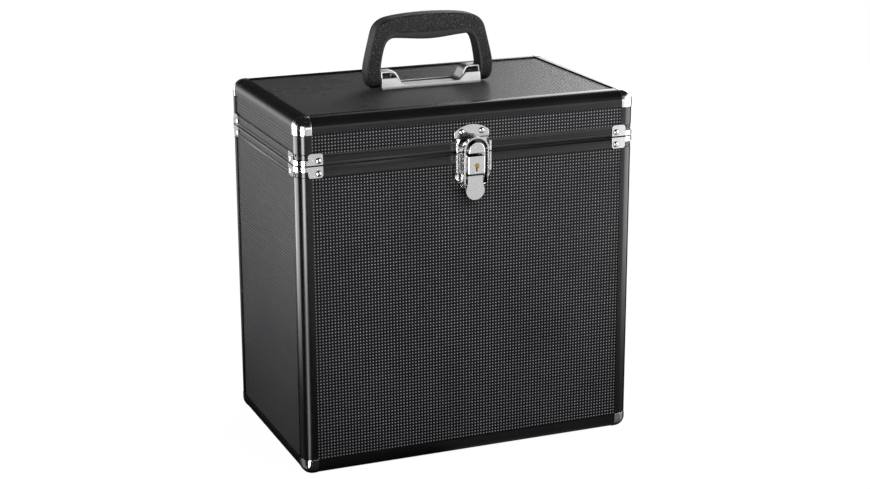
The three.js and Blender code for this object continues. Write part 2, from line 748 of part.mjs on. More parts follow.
function addLatch() {
  add('latch_base', basePlate(), chrome);
  add('lock_case', lockCase(), chrome);
  add('lock_barrel', lockBarrel(), brass);
  add('lever_pin', pinBar(pinRadius, earOuter + trunnionEnd), steel);
  add('latch_lever', latchLever(), chrome);
  add('latch_loop', latchLoop(), chrome);
  add('latch_catch', catchPlate(), chrome);
}

// Hinge: two notched leaves whose knuckles take turns on one long pin

const hingeY = yBack + hingeAxisProud;
const knucklePitch = hingeLength / knuckleCount;

function hingeLeaf(direction, firstKnuckle) {
  const start = -hingeLength / 2;
  const edge = zSeam + direction * hingeLeafHeight;
  const notch = zSeam + direction * (knuckleRadius + knuckleNotchGap);
  const points = [[start, edge]];
  let knuckles = null;
  for (let i = 0; i < knuckleCount; i += 1) {
    const owned = i % 2 === firstKnuckle;
    const x0 = start + i * knucklePitch + (owned ? knuckleEndGap / 2 : -knuckleEndGap / 2);
    const x1 = start + (i + 1) * knucklePitch + (owned ? -knuckleEndGap / 2 : knuckleEndGap / 2);
    const left = Math.max(x0, start);
    const right = Math.min(x1, -start);
    const level = owned ? zSeam : notch;
    points.push([left, level], [right, level]);
    if (owned) {
      const knuckle = barX(knuckleRadius, left, right, hingeY, zSeam, knuckleSegments);
      knuckles = knuckles ? knuckles.add(knuckle) : knuckle;
    }
  }
  points.push([-start, edge]);
  const shape = polygon(direction > 0 ? points : points.reverse());
  const matrix = placement(unitX, unitZ, unitY.clone().negate(),
    new THREE.Vector3(0, yBack + seatGap + hingeSheet, 0));
  const bore = barX(hingePinRadius + hingePinGap, start - cutOverrun, -start + cutOverrun, hingeY, zSeam,
    knuckleSegments);
  return extruded(shape, hingeSheet, matrix).add(knuckles).subtract(bore);
}

function addHinge() {
  add('hinge_body_leaf', hingeLeaf(-1, 0), anodised);
  add('hinge_lid_leaf', hingeLeaf(1, 1), anodised);
  const pinHalf = hingeLength / 2;
  add('hinge_pin', barX(hingePinRadius, -pinHalf, pinHalf, hingeY, zSeam, knuckleSegments), steel);
}

// Handle and its mount

const mountZ = zTop - panelInset + seatGap;
const mountHalf = mountLength / 2;
const mountY = yMiddle + mountSetback;
const bailPivotZ = mountZ + bailPivotHeight;
const bailWidth = mountLength + 2 * bailArmWidth;

function mountTray() {
  const halfDepth = mountDepth / 2;
  const floor = box(-mountHalf, mountHalf, mountY - halfDepth, mountY + halfDepth, mountZ,
    mountZ + mountSheet);
  const ear = mountHalf - trayEarLength;
  const waist = ear - trayShoulderLength;
  const outline = polygon([[-mountHalf, 0], [mountHalf, 0], [mountHalf, trayEarHeight], [ear, trayEarHeight],
    [waist, trayWaistHeight], [-waist, trayWaistHeight], [-ear, trayEarHeight], [-mountHalf, trayEarHeight]]);
  const front = liddedPlate(outline, mountY - halfDepth, mountY - halfDepth + mountSheet, mountZ);
  const back = liddedPlate(outline, mountY + halfDepth - mountSheet, mountY + halfDepth, mountZ);
  return floor.add(front).add(back);
}

function mountBridge() {
  const foot = mountSheet + seatGap;
  const flat = foot + mountSheet;
  const ear = mountHalf - bridgeEarLength;
  const waist = ear - bridgeShoulderLength;
  const bend = bridgeShoulderLength / 2;
  const outline = new THREE.Shape();
  outline.moveTo(-mountHalf, foot);
  outline.lineTo(mountHalf, foot);
  outline.lineTo(mountHalf, bridgeHeight);
  outline.lineTo(ear, bridgeHeight);
  outline.bezierCurveTo(ear - bend, bridgeHeight, waist + bend, flat, waist, flat);
  outline.lineTo(-waist, flat);
  outline.bezierCurveTo(-waist - bend, flat, -ear + bend, bridgeHeight, -ear, bridgeHeight);
  outline.lineTo(-mountHalf, bridgeHeight);
  const halfDepth = mountDepth / 2 - mountSheet - bridgeSideGap;
  const y = [mountY - halfDepth, mountY + halfDepth];
  let body = liddedPlate(outline, y[0], y[1], mountZ);
  const roof = bridgeHeight - mountSheet;
  for (const side of [-1, 1]) {
    const tunnel = new THREE.Shape();
    tunnel.moveTo(side * (waist + mountSheet), foot - cutOverrun);
    tunnel.lineTo(side * (mountHalf - mountSheet), foot - cutOverrun);
    tunnel.lineTo(side * (mountHalf - mountSheet), roof);
    tunnel.lineTo(side * (ear + mountSheet / 2), roof);
    tunnel.bezierCurveTo(side * (ear + mountSheet - bend), roof, side * (waist + mountSheet + bend), foot,
      side * (waist + mountSheet), foot);
    body = body.subtract(liddedPlate(tunnel, y[0] - cutOverrun, y[1] + cutOverrun, mountZ));
  }
  for (const end of [-mountHalf, mountHalf]) {
    const hole = barX(bailBossRadius + bailBossGap, end - cutOverrun, end + cutOverrun, mountY, bailPivotZ);
    body = body.subtract(hole);
  }
  return body;
}

// The right half of the bail, seen from the front, in shares of its half width and its height.
const bailCrownShares = [[0, 1], [0.24, 1], [0.53, 0.985], [0.675, 0.95]];
const bailShoulderShares = [[0.835, 0.905], [0.875, 0.767]];
const bailArmShares = [[0.925, 0.58], [0.985, 0.4], [1, 0.27]];
const bailHipShares = [[1, 0.15], [0.985, 0.035], [0.9, 0.007]];
const bailInnerArmShares = [[0.765, 0.445], [0.73, 0.68], [0.58, 0.697]];
const bailPalmShares = [[0.38, 0.697], [0.2, 0.672], [0, 0.672]];

function bailOutline() {
  const w = bailWidth / 2;
  const h = bailHeight;
  const footIn = mountHalf + bailFootGap;
  const at = (share) => new THREE.Vector2(w * share[0], h * share[1]);
  const pieces = [
    new THREE.CubicBezierCurve(...bailCrownShares.map(at)),
    new THREE.QuadraticBezierCurve(at(bailCrownShares[3]), ...bailShoulderShares.map(at)),
    new THREE.CubicBezierCurve(at(bailShoulderShares[1]), ...bailArmShares.map(at)),
    new THREE.CubicBezierCurve(at(bailArmShares[2]), ...bailHipShares.map(at)),
  ];
  const right = pieces.flatMap((curve) => curve.getPoints(roundingSegments + 1));
  right.push(new THREE.Vector2(footIn, at(bailHipShares[2]).y));
  right.push(new THREE.Vector2(footIn, at(bailArmShares[2]).y));
  const innerArm = new THREE.QuadraticBezierCurve(...bailInnerArmShares.map(at));
  right.push(...innerArm.getPoints(2 * roundingSegments));
  right.push(...new THREE.CubicBezierCurve(at(bailInnerArmShares[2]), ...bailPalmShares.map(at))
    .getPoints(roundingSegments + 1));
  const distinct = right.filter((point, i) => i === 0 || point.distanceTo(right[i - 1]) > pointSpacing);
  const left = distinct.filter((point) => point.x > pointSpacing).reverse();
  return new THREE.Shape([...distinct, ...left.map((point) => new THREE.Vector2(-point.x, point.y))]);
}

function bail() {
  const half = bailDepth / 2;
  const rounding = { bevelEnabled: true, bevelThickness: bailRounding, bevelSize: bailRounding,
    bevelOffset: -bailRounding, bevelSegments: roundingSegments };
  const outline = bailOutline();
  const core = half - bailRounding;
  const body = liddedPlate(outline, mountY - core, mountY + core, mountZ, rounding);
  const above = box(-bailWidth, bailWidth, mountY - bailDepth, mountY + bailDepth, bailPivotZ,
    bailPivotZ + 2 * bailHeight);
  const hub = barX(half, -bailWidth, bailWidth, mountY, bailPivotZ, 2 * pinSegments);
  let result = body.intersect(above.add(hub));
  const footIn = mountHalf + bailFootGap;
  for (const side of [-1, 1]) {
    const boss = [side * (footIn - bailBossLength), side * (footIn + bailRounding)].sort((a, b) => a - b);
    result = result.add(barX(bailBossRadius, boss[0], boss[1], mountY, bailPivotZ, pinSegments));
  }
  return result;
}

function addHandle() {
  add('handle_tray', mountTray(), chrome);
  add('handle_bridge', mountBridge(), chrome);
  add('handle_bail', bail(), plastic);
}

addPosts();
addRails();
addPanels();
addSeamFrames();
addThreeWayCorners();
addSeamBrackets();
addLinings();
addLatch();
addHinge();
addHandle();

export default group;
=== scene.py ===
"""The looks of a record carrying case: its finished pieces, their materials, and the studio round it."""

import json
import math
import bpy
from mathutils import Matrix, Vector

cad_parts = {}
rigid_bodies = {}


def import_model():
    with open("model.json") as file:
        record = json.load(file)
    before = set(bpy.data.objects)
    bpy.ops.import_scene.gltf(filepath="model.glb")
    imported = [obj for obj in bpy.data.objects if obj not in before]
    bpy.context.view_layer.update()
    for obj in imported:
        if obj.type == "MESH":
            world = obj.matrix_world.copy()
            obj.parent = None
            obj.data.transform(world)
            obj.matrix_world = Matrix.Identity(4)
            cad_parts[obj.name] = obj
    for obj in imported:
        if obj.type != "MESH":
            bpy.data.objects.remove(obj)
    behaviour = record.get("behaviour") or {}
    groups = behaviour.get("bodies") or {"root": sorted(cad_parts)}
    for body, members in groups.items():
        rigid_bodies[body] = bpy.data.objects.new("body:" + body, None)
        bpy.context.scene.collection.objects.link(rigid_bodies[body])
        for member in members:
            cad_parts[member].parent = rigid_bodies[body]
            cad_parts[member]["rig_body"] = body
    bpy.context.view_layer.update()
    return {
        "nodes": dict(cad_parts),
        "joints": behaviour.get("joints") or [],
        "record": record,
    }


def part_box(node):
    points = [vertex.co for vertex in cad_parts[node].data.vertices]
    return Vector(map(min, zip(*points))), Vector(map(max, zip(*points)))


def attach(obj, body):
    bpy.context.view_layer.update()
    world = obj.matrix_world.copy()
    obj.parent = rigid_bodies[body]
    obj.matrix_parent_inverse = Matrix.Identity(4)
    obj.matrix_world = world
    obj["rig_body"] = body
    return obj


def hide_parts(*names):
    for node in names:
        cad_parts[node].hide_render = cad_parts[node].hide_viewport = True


bl_info = {
    "name": "Record Carrying Case",
    "version": (1, 0, 0),
    "blender": (4, 5, 0),
    "location": "3D View > Sidebar > Record Case",
    "description": "Finishes the pieces of a record carrying case and sets it in a studio",
    "category": "Object",
}

import bmesh
import bpy
from bpy.props import FloatProperty, FloatVectorProperty, PointerProperty
from mathutils import Matrix, Vector
from mathutils.geometry import interpolate_bezier

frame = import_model()

# The four sides, each with the axis that it runs along and the sign of the direction that it faces
SIDES = (("front", 0, -1), ("back", 0, 1), ("left", 1, -1), ("right", 1, 1))
# The four upright edges, each with the signs of its place along X and Y
ENDS = (("front_left", -1, -1), ("front_right", 1, -1), ("back_left", -1, 1), ("back_right", 1, 1))
# The pieces at their ends and at the seam, each with the sign of its place along Z
CORNERS = (("bottom_corner_", -1), ("top_corner_", 1))
BRACKETS = (("body_bracket_", -1), ("lid_bracket_", 1))
QUARTER = math.pi / 2
# Vertices closer than WELD become one, and places closer than LEVEL count as the same
WELD = 1e-6
LEVEL = 1e-5
SMOOTH_ANGLE = math.radians(35)
BEVEL_ANGLE = math.radians(38)


# Settings


def length(name, description, default):
    return FloatProperty(name=name, description=description, default=default, min=0.0, unit="LENGTH", precision=5)


def angle(name, description, degrees):
    return FloatProperty(name=name, description=description, default=math.radians(degrees), unit="ROTATION")


def colour(name, description, default):
    return FloatVectorProperty(name=name, description=description, default=default, size=3, min=0.0, max=1.0,
                               subtype="COLOR")


class CaseSizes(bpy.types.PropertyGroup):
    """Sizes of the finished pieces"""

    metal_bevel: length("Metal bevel", "Bevel of the profiles and of the hinge", 0.00025)
    fitting_bevel: length("Fitting bevel", "Bevel of the bright fittings", 0.0004)
    felt_sheet: length("Felt sheet", "Thickness of the linings", 0.002)
    felt_fold: length("Felt fold", "Rounding of the linings' folds", 0.0028)
    corner_radius: length("Corner radius", "Rounding of the three-way corners", 0.0114)
    corner_leg: length("Corner leg", "Reach of a corner along a rail", 0.0154)
    corner_height: length("Corner height", "Reach of a three-way corner along a post", 0.0169)
    corner_wall: length("Corner wall", "Thickness of a three-way corner's walls", 0.0079)
    bracket_sheet: length("Bracket sheet", "Thickness of the seam brackets", 0.0006)
    bracket_rounding: length("Bracket rounding", "Rounding of the seam brackets' edges", 0.0005)
    bracket_band: length("Bracket band", "Height of a seam bracket round the post", 0.0046)
    bracket_tab_radius: length("Tab radius", "Rounding of a seam bracket's tabs", 0.0026)
    bracket_setback: length("Setback", "How far the brackets' faces lie back, for the screws", 0.0006)
    seam_lip: length("Seam lip", "Chamfer of the seam frames' outer edges at the seam", 0.0006)
    seam_relief: length("Seam relief", "How far the seam brackets keep back from the seam", 0.00055)
    # The dark ring round a screw is painted shade
    screw_radius: length("Screw radius", "Radius of a screw with its dark ring", 0.0031)
    screw_height: length("Screw height", "Height of the slotted screw heads", 0.0012)
    slot_width: length("Slot width", "Width of a screw's slot", 0.0008)
    screw_inset: length("Screw inset", "How far a bracket's screws stand in from its ends", 0.0044)
    screw_rise: length("Screw rise", "How far a lid bracket's screws stand over its lower edge", 0.0046)
    screw_drop: length("Screw drop", "How far a body bracket's screws stand under its upper edge", 0.0074)
    catch_screw_reach: length("Catch screw reach", "How far the catch's screws stand from its middle", 0.0105)
    catch_screw_height: length("Catch screw height", "How high the catch's screws stand", 0.333)
    catch_thickness: length("Catch thickness", "How far the catch's face stands out", 0.0016)
    hinge_screw_pitch: length("Hinge screw pitch", "Spacing of the hinge's screws", 0.049)
    hinge_screw_inset: length("Hinge screw inset", "How far they stand in from the leaf's far edge", 0.0075)
    dot_pitch: length("Dot pitch", "Spacing of the raised dots", 0.0032)
    dot_radius: length("Dot radius", "Radius of a raised dot at its foot", 0.00105)
    dot_height: length("Dot height", "Height of a raised dot", 0.0004)
    dot_narrowing: FloatProperty(name="Dot narrowing", description="A dot's height over its width", default=1.18)
    mount_foot: length("Mount foot", "Height of the upright foot of the handle's mount", 0.0026)
    mount_ledge: length("Mount ledge", "How far that foot stands out from the walls", 0.0003)
    mount_lean: angle("Mount lean", "How far the mount's walls lean together", 9.0)
    boss_radius: length("Boss radius", "Radius of the bosses that the handle turns on", 0.0047)
    boss_length: length("Boss length", "Length of those bosses", 0.0125)
    boss_inset: length("Boss inset", "How far their middles lie in from the mount's ends", 0.0045)
    grip_rounding: length("Grip rounding", "Rounding of the handle's outer edges", 0.0034)
    grip_chamfer: length("Grip chamfer", "Width of the smooth inner band at the crown", 0.0078)
    grip_chamfer_depth: length("Chamfer depth", "How far that band falls back from the handle's face", 0.0032)
    grain: length("Grain", "Size of the handle's grain", 0.0011)


class CaseColours(bpy.types.PropertyGroup):
    """Colours of the case's finishes"""

    anodised: colour("Anodised", "Black anodised aluminium", (0.004, 0.004, 0.004))
    laminate: colour("Laminate", "Ground of the dotted facing", (0.004, 0.004, 0.005))
    # The dots' colour is a painted highlight on the tops of the raised dots
    dots: colour("Dots", "Raised dots of the facing", (0.235, 0.229, 0.243))
    chrome: colour("Chrome", "Bright plating", (0.82, 0.82, 0.82))
    steel: colour("Steel", "Plain steel pins", (0.42, 0.42, 0.43))
    brass: colour("Brass", "Key barrel", (0.6, 0.4, 0.13))
    grip: colour("Grip", "Moulded plastic of the handle", (0.008, 0.008, 0.008))
    felt: colour("Felt", "Lining", (0.014, 0.014, 0.015))


class StudioSettings(bpy.types.PropertyGroup):
    """The camera and the light"""

    eye: FloatVectorProperty(name="Eye", description="Where the camera stands", size=3, subtype="TRANSLATION",
                             default=(-0.7018, -1.75342, 0.73601))
    heading: angle("Heading", "How far the camera turns from the front towards the right", 21.932)
    tilt: angle("Tilt", "How far the camera looks up", -16.113)
    roll: angle("Roll", "How far the camera leans", 0.236)
    lens: FloatProperty(name="Lens", description="Focal length in millimetres", default=78.344, min=1.0)
    lamp_level: FloatProperty(name="Lamps", description="Strength of the lamps", default=1.0, min=0.0)


def colours():
    return bpy.context.scene.case_colours


def sizes():
    return bpy.context.scene.case_sizes


# Shader graphs


class Signal:
    """A shader socket that takes Python's arithmetic."""

    def __init__(self, finish, socket):
        self.finish = finish
        self.socket = socket

    def maths(self, operation, *values):
        return self.finish.node("ShaderNodeMath", {"operation": operation}, values)

    def __add__(self, other):
        return self.maths("ADD", self, other)

    def __sub__(self, other):
        return self.maths("SUBTRACT", self, other)

    def __rsub__(self, other):
        return self.maths("SUBTRACT", other, self)

    def __mul__(self, other):
        return self.maths("MULTIPLY", self, other)

    def __truediv__(self, other):
        return self.maths("DIVIDE", self, other)

    def __pow__(self, other):
        return self.maths("POWER", self, other)

    __radd__ = __add__
    __rmul__ = __mul__

    def fraction(self):
        return self.maths("FRACT", self)

    def eased(self, low, high, start=0.0, end=1.0):
        """The value carried from low..high to start..end, with soft ends."""
        inputs = {"Value": self, "From Min": low, "From Max": high, "To Min": start, "To Max": end}
        return self.finish.node("ShaderNodeMapRange", {"interpolation_type": "SMOOTHSTEP"}, inputs)

    def by_distance(self, middle, none, full):
        """0 at one distance from a value and 1 at another, with soft ends."""
        off = self - middle
        return (off * off).eased(none ** 2, full ** 2)


class Finish:
    """A node tree that is built value by value."""

    def __init__(self, tree):
        self.tree = tree
        self.tree.nodes.clear()

    def node(self, kind, settings=None, inputs=(), output=0):
        made = self.tree.nodes.new(kind)
        for key, value in (settings or {}).items():
            setattr(made, key, value)
        for key, value in inputs.items() if isinstance(inputs, dict) else enumerate(inputs):
            if isinstance(value, Signal):
                self.tree.links.new(value.socket, made.inputs[key])
            else:
                made.inputs[key].default_value = value
        return Signal(self, made.outputs[output]) if made.outputs else None

    def point(self, scale=(1, 1, 1)):
        """The place on the piece, in its own coordinates, stretched along each axis."""
        place = self.node("ShaderNodeTexCoord", output="Object")
        return self.node("ShaderNodeMapping", {"vector_type": "POINT"}, {"Vector": place, "Scale": scale})

    def axes(self, vector):
        return [self.node("ShaderNodeSeparateXYZ", None, [vector], i) for i in range(3)]

    def height(self):
        return self.axes(self.point())[2]

    def noise(self, scale, detail=2.0, roughness=0.5, stretch=(1, 1, 1)):
        inputs = {"Vector": self.point(stretch), "Scale": scale, "Detail": detail, "Roughness": roughness}
        return self.node("ShaderNodeTexNoise", None, inputs)

    def cells(self, scale):
        """The distance to the middle of the nearest of many scattered cells, with soft borders."""
        inputs = {"Vector": self.point(), "Scale": scale}
        return self.node("ShaderNodeTexVoronoi", {"feature": "SMOOTH_F1"}, inputs, "Distance")

    def attribute(self, name):
        return self.node("ShaderNodeAttribute", {"attribute_name": name}, (), "Fac")

    def blend(self, factor, first, second):
        return self.node("ShaderNodeMix", {"data_type": "RGBA"}, {0: factor, 6: first, 7: second}, 2)

    def rays(self, *kinds):
        """1 for rays of each kind, and 0 for others."""
        return [self.node("ShaderNodeLightPath", None, (), f"Is {kind} Ray") for kind in kinds]

    def openness(self, reach):
        """1 on open faces, and less where others stand within a distance."""
        return self.node("ShaderNodeAmbientOcclusion", {"samples": 6}, {"Distance": reach}, "AO")

    def bump(self, height, distance, strength=1.0):
        inputs = {"Height": height, "Distance": distance, "Strength": strength}
        return self.node("ShaderNodeBump", None, inputs)

    def surface(self, **sockets):
        inputs = {name.replace("_", " "): value for name, value in sockets.items()}
        shader = self.node("ShaderNodeBsdfPrincipled", None, inputs)
        self.node("ShaderNodeOutputMaterial", None, {"Surface": shader})


def material(name, make, *details, **named):
    """The material of that name, made the first time that it is asked for."""
    found = bpy.data.materials.get(name)
    if not found:
        found = bpy.data.materials.new(name)
        found.use_nodes = True
        make(Finish(found.node_tree), *details, **named)
    return found


def rgba(values, share=1.0):
    return (values[0] * share, values[1] * share, values[2] * share, 1.0)


# Materials


def make_anodised(finish, along, channel=None, seam=None):
    """Black anodised extrusion: satin, drawn along its length, a little rubbed; where it has a channel, painted
    lighter on the borders away from the channel's height, so that the channel reads as shaded, and painted dark and
    dull at the seam's height, as the shadow in the seam."""
    stretch = [0.02 if i == along else 1.0 for i in range(3)]
    lines = finish.noise(2600.0, detail=3.0, roughness=0.6, stretch=stretch)
    clouds = finish.noise(22.0, detail=3.0, roughness=0.55)
    rubs = finish.noise(900.0, roughness=0.6).eased(0.62, 0.8)
    ground = colours().anodised
    tone = finish.blend(clouds.eased(0.3, 0.7), rgba(ground, 0.85), rgba(ground, 1.15))
    tone = finish.blend(rubs * 0.35, tone, rgba(ground, 1.9))
    level = lines * 0.07 + clouds * 0.05 + 0.15
    if channel:
        # Painted light: the borders are painted lighter so that the channel between them reads as shaded
        painted_border_light = finish.height().by_distance(channel, none=0.0021, full=0.0027)
        # Painted shadow: a dark, dull line at the seam's height stands for the shade in the seam's gap
        painted_seam_shadow = finish.height().by_distance(seam, none=0.001, full=0.0006)
        tone = finish.blend(painted_border_light, tone, rgba(ground, 3.2))
        tone = finish.blend(painted_seam_shadow, tone, rgba(ground, 0.05))
        level += painted_seam_shadow * 0.75
    finish.surface(Base_Color=tone, IOR=1.46, Roughness=level, Normal=finish.bump(lines, distance=0.000005))


def make_laminate(finish, across, up, tone=1.0, gloss=0.16, level=0.34):
    """Black plastic facing, with a painted highlight on the tops of the dots that stand on it in rows, in the plane
    of two axes.
    """
    size = sizes()
    axes = finish.axes(finish.point())
    du, dv = ((axes[i] / size.dot_pitch).fraction() - 0.5 for i in (across, up))
    distance = (du * du * size.dot_narrowing ** 2 + dv * dv) ** 0.5 * size.dot_pitch
    # The dots' tops are painted lighter, as a painted highlight, and made a little less rough
    painted_dot_highlight = distance.eased(size.dot_radius * 0.85, size.dot_radius * 0.5)
    skin = finish.noise(2400.0, roughness=0.6)
    haze = finish.noise(14.0, detail=3.0, roughness=0.6)
    hazy = haze.eased(0.3, 0.7)
    ground, dots = rgba(colours().laminate, tone), rgba(colours().dots, tone)
    ground = finish.blend(hazy, rgba(ground, 0.85), rgba(ground, 1.2))
    dots = finish.blend(hazy, rgba(dots, 0.9), rgba(dots, 1.1))
    finish.surface(
        Base_Color=finish.blend(painted_dot_highlight, ground, dots),
        Specular_IOR_Level=gloss,
        Roughness=level - painted_dot_highlight * 0.05 + haze * 0.06,
        Normal=finish.bump(skin, distance=0.00002),
    )


def make_chrome(finish, ground, level=0.12, reach=0.01, foot=None):
    """Plating with faint waves, polishing lines and finger marks, painted dark in its corners as shade, and painted
    greyer under a height as a darker reflection.
    """
    waves = finish.noise(120.0)
    lines = finish.noise(2200.0, roughness=0.6, stretch=(1.0, 1.0, 0.08))
    marks = finish.noise(260.0, detail=4.0, roughness=0.65).eased(0.45, 0.75)
    tone = finish.blend(marks, rgba(ground), rgba(ground, 0.9))
    # Painted reflection: under the foot's height the plating is painted greyer, standing for the darker reflection
    # there
    if foot:
        tone = finish.blend(finish.height().eased(foot, foot - 0.0002), tone, rgba(ground, 0.5))
    # Painted shade: where other faces stand within reach, the colour is painted near black
    finish.surface(
        Base_Color=finish.blend(finish.openness(reach).eased(0.55, 0.86), rgba(ground, 0.05), tone),
        Metallic=1.0,
        Roughness=marks * 0.07 + lines * 0.03 + level,
        Normal=finish.bump(waves, distance=0.00002, strength=0.6),
    )


def make_screw(finish, ground):
    """Plated steel, painted black in the slot and in the ring round the head, as the shade there."""
    # Painted shade: the slot and the ring round the head are painted near black, and made rougher
    recess_shade = finish.attribute("recess_shade").eased(0.25, 0.6)
    scuffs = finish.noise(1500.0, detail=3.0, roughness=0.6)
    finish.surface(
        Base_Color=finish.blend(recess_shade, rgba(ground), rgba(ground, 0.02)),
        Metallic=1.0,
        Roughness=recess_shade * 0.35 + scuffs * 0.08 + 0.12,
    )


def make_steel(finish, ground):
    """Plain turned metal."""
    lines = finish.noise(3000.0, roughness=0.6, stretch=(0.05, 1.0, 1.0))
    stains = finish.noise(400.0, detail=3.0, roughness=0.6)
    finish.surface(
        Base_Color=finish.blend(stains.eased(0.3, 0.8), rgba(ground), rgba(ground, 0.75)),
        Metallic=1.0,
        Roughness=lines * 0.12 + 0.22,
    )


def make_grip(finish, ground):
    """Black moulding: grained on its faces, smooth and painted lighter on the bands as a painted sheen, and dull on
    the inner walls, by its zones.
    """
    zone = finish.attribute("zone")
    band, wall = zone.eased(0.35, 0.65), zone.eased(1.3, 1.7)
    rough = 1.0 - band
    size = sizes().grain
    pebbles = finish.cells(1.2 / size)
    crumbs = finish.noise(1.0 / size)
    height = (1.0 - pebbles.eased(0.1, 0.75)) * 0.6 + crumbs.eased(0.35, 0.7) * 0.6
    specks = crumbs.eased(0.6, 0.66) * rough
    tone = finish.blend(specks, rgba(ground), rgba(ground, 11.0))
    # Painted sheen: the smooth bands are painted lighter than the grained faces
    tone = finish.blend(band, tone, rgba(ground, 5.5))
    finish.surface(
        Base_Color=finish.blend(wall, tone, rgba(ground, 0.7)),
        Specular_IOR_Level=0.2,
        Roughness=0.46 - band * 0.06 + wall * 0.45 + crumbs * 0.08,
        Normal=finish.bump(height * rough, distance=0.0004),
    )


def make_felt(finish, ground):
    """Short black nap."""
    nap = finish.noise(1800.0, detail=4.0, roughness=0.7)
    lint = finish.noise(90.0, detail=4.0, roughness=0.6)
    finish.surface(
        Base_Color=finish.blend(nap.eased(0.3, 0.75), rgba(ground, 0.7), rgba(ground, 1.5)),
        Roughness=lint * 0.1 + 0.85,
        Sheen_Weight=0.35,
        Sheen_Roughness=0.5,
        Normal=finish.bump(nap, distance=0.0002, strength=0.8),
    )


def anodised(along):
    return material("anodised_along_" + "xyz"[along], make_anodised, along)


def anodised_frame(node, seam):
    low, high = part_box(node)
    return material("anodised_" + node, make_anodised, along=0, channel=(low.z + high.z) / 2, seam=seam)


def laminate(across, up):
    """The facing of the upright panels, or of the flat ones, set glossier and painted darker, as shade against the
    stronger light from above, to match the photograph.
    """
    # Painted shade: the flat facing is a darker copy of the same laminate, offsetting the light that falls on it
    # from above
    flat = {"tone": 0.34, "gloss": 0.34, "level": 0.25} if up == 1 else {}
    return material("dotted_facing_" + "xyz"[across] + "xyz"[up], make_laminate, across, up, **flat)


def bright_plating():
    return material("bright_plating", make_chrome, colours().chrome)


def fitting_plating():
    return material("fitting_plating", make_chrome, colours().chrome, reach=0.005)


def satin_plating(foot):
    return material("satin_plating", make_chrome, colours().chrome, level=0.3, reach=0.0015, foot=foot)


def steel():
    return material("steel_pin", make_steel, colours().steel)


def grip():
    return material("grained_grip", make_grip, colours().grip)


# Pieces


def body_of(node):
    return frame["nodes"][node]["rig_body"]


def slot_of(node):
    return next(s["material_slot"] for s in frame["record"]["subparts"] if s["node"] == node)


def joint_point(name):
    return Vector(next(j["pos_m"] for j in frame["joints"] if j["name"] == name))


def far_point(box, signs):
    """The corner of a box that lies furthest in the directions of three signs."""
    return Vector([box[1 if sign > 0 else 0][i] for i, sign in enumerate(signs)])


def dress(node, finish):
    """Gives a node its material."""
    for holder in frame["nodes"][node].material_slots:
        holder.link = "OBJECT"
        holder.material = finish


def meshed(part, name):
    """The mesh of a bmesh, which is used up."""
    mesh = bpy.data.meshes.new(name)
    part.to_mesh(mesh)
    part.free()
    return mesh


def placed(name, data):
    """A new object in the scene."""
    made = bpy.data.objects.new(name, data)
    bpy.context.scene.collection.objects.link(made)
    return made


def settle(part, name, finish, like, stands_for=(), weighted=True):
    """Makes an object of a bmesh, which rides with a node."""
    mesh = meshed(part, name)
    mesh.shade_smooth()
    mesh.set_sharp_from_angle(angle=SMOOTH_ANGLE)
    mesh.materials.append(finish)
    piece = placed(name, mesh)
    if weighted:
        normals = piece.modifiers.new("flat faces", "WEIGHTED_NORMAL")
        normals.keep_sharp = True
    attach(piece, body_of(like))
    slot_of(like)
    if stands_for:
        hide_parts(*stands_for)
    return piece


def everything(part):
    return part.verts[:] + part.edges[:] + part.faces[:]


def cut(part, place, normal):
    """Cuts the faces along a plane, and keeps both sides."""
    bmesh.ops.bisect_plane(part, geom=everything(part), dist=WELD, plane_co=place, plane_no=normal)


def bevelled(part, edges, bevel, segments, clamp=True):
    bmesh.ops.bevel(part, geom=edges, offset=bevel, segments=segments, profile=0.5, affect="EDGES", material=-1,
                    clamp_overlap=clamp)


def broken_edges(part, bevel, segments=2):
    """Bevels the outer edges that are sharp."""
    edges = [e for e in part.edges if e.is_manifold and e.is_convex and e.calc_face_angle() > BEVEL_ANGLE]
    bevelled(part, edges, bevel, segments)


def outward_faces(part):
    bmesh.ops.recalc_face_normals(part, faces=part.faces)


def thickened(part, thickness):
    """Gives an open sheet its thickness."""
    bmesh.ops.solidify(part, geom=part.faces[:], thickness=thickness)
    outward_faces(part)


def moved(part, place):
    """Carries a part by a matrix, which may mirror it."""
    bmesh.ops.transform(part, matrix=place, verts=part.verts)
    outward_faces(part)


def welded(node):
    """A copy of a node's mesh, merged, with its flat faces whole."""
    part = bmesh.new()
    part.from_mesh(frame["nodes"][node].data)
    bmesh.ops.remove_doubles(part, verts=part.verts, dist=WELD)
    bmesh.ops.dissolve_limit(part, angle_limit=math.radians(0.6), verts=part.verts, edges=part.edges)
    return part


def finished(node, finish, bevel):
    """A welded copy of a node with its outer edges broken, which stands for the node."""
    part = welded(node)
    broken_edges(part, bevel)
    return settle(part, node + "_finished", finish, node, [node])


def facing(place, outward, turn=0):
    """The matrix that sets a part drawn upright at a place, facing outward and turned."""
    aim = outward.to_track_quat("Z", "Y").to_matrix().to_4x4()
    return Matrix.Translation(place) @ aim @ Matrix.Rotation(turn, 4, "Z")


# Profiles


def seam_frame(node, seam):
    """A seam frame with its outer edge at the seam chamfered, so that the seam shows as a line."""
    low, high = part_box(node)
    part = welded(node)

    def outermost(vert):
        x, y, z = vert.co
        return abs(z - seam) < LEVEL and min(x - low.x, high.x - x, y - low.y, high.y - y) < LEVEL

    rim = [e for e in part.edges if e.is_convex and all(outermost(v) for v in e.verts)]
    bevelled(part, rim, sizes().seam_lip, segments=1)
    broken_edges(part, sizes().metal_bevel)
    settle(part, node + "_finished", anodised_frame(node, seam), node, [node])


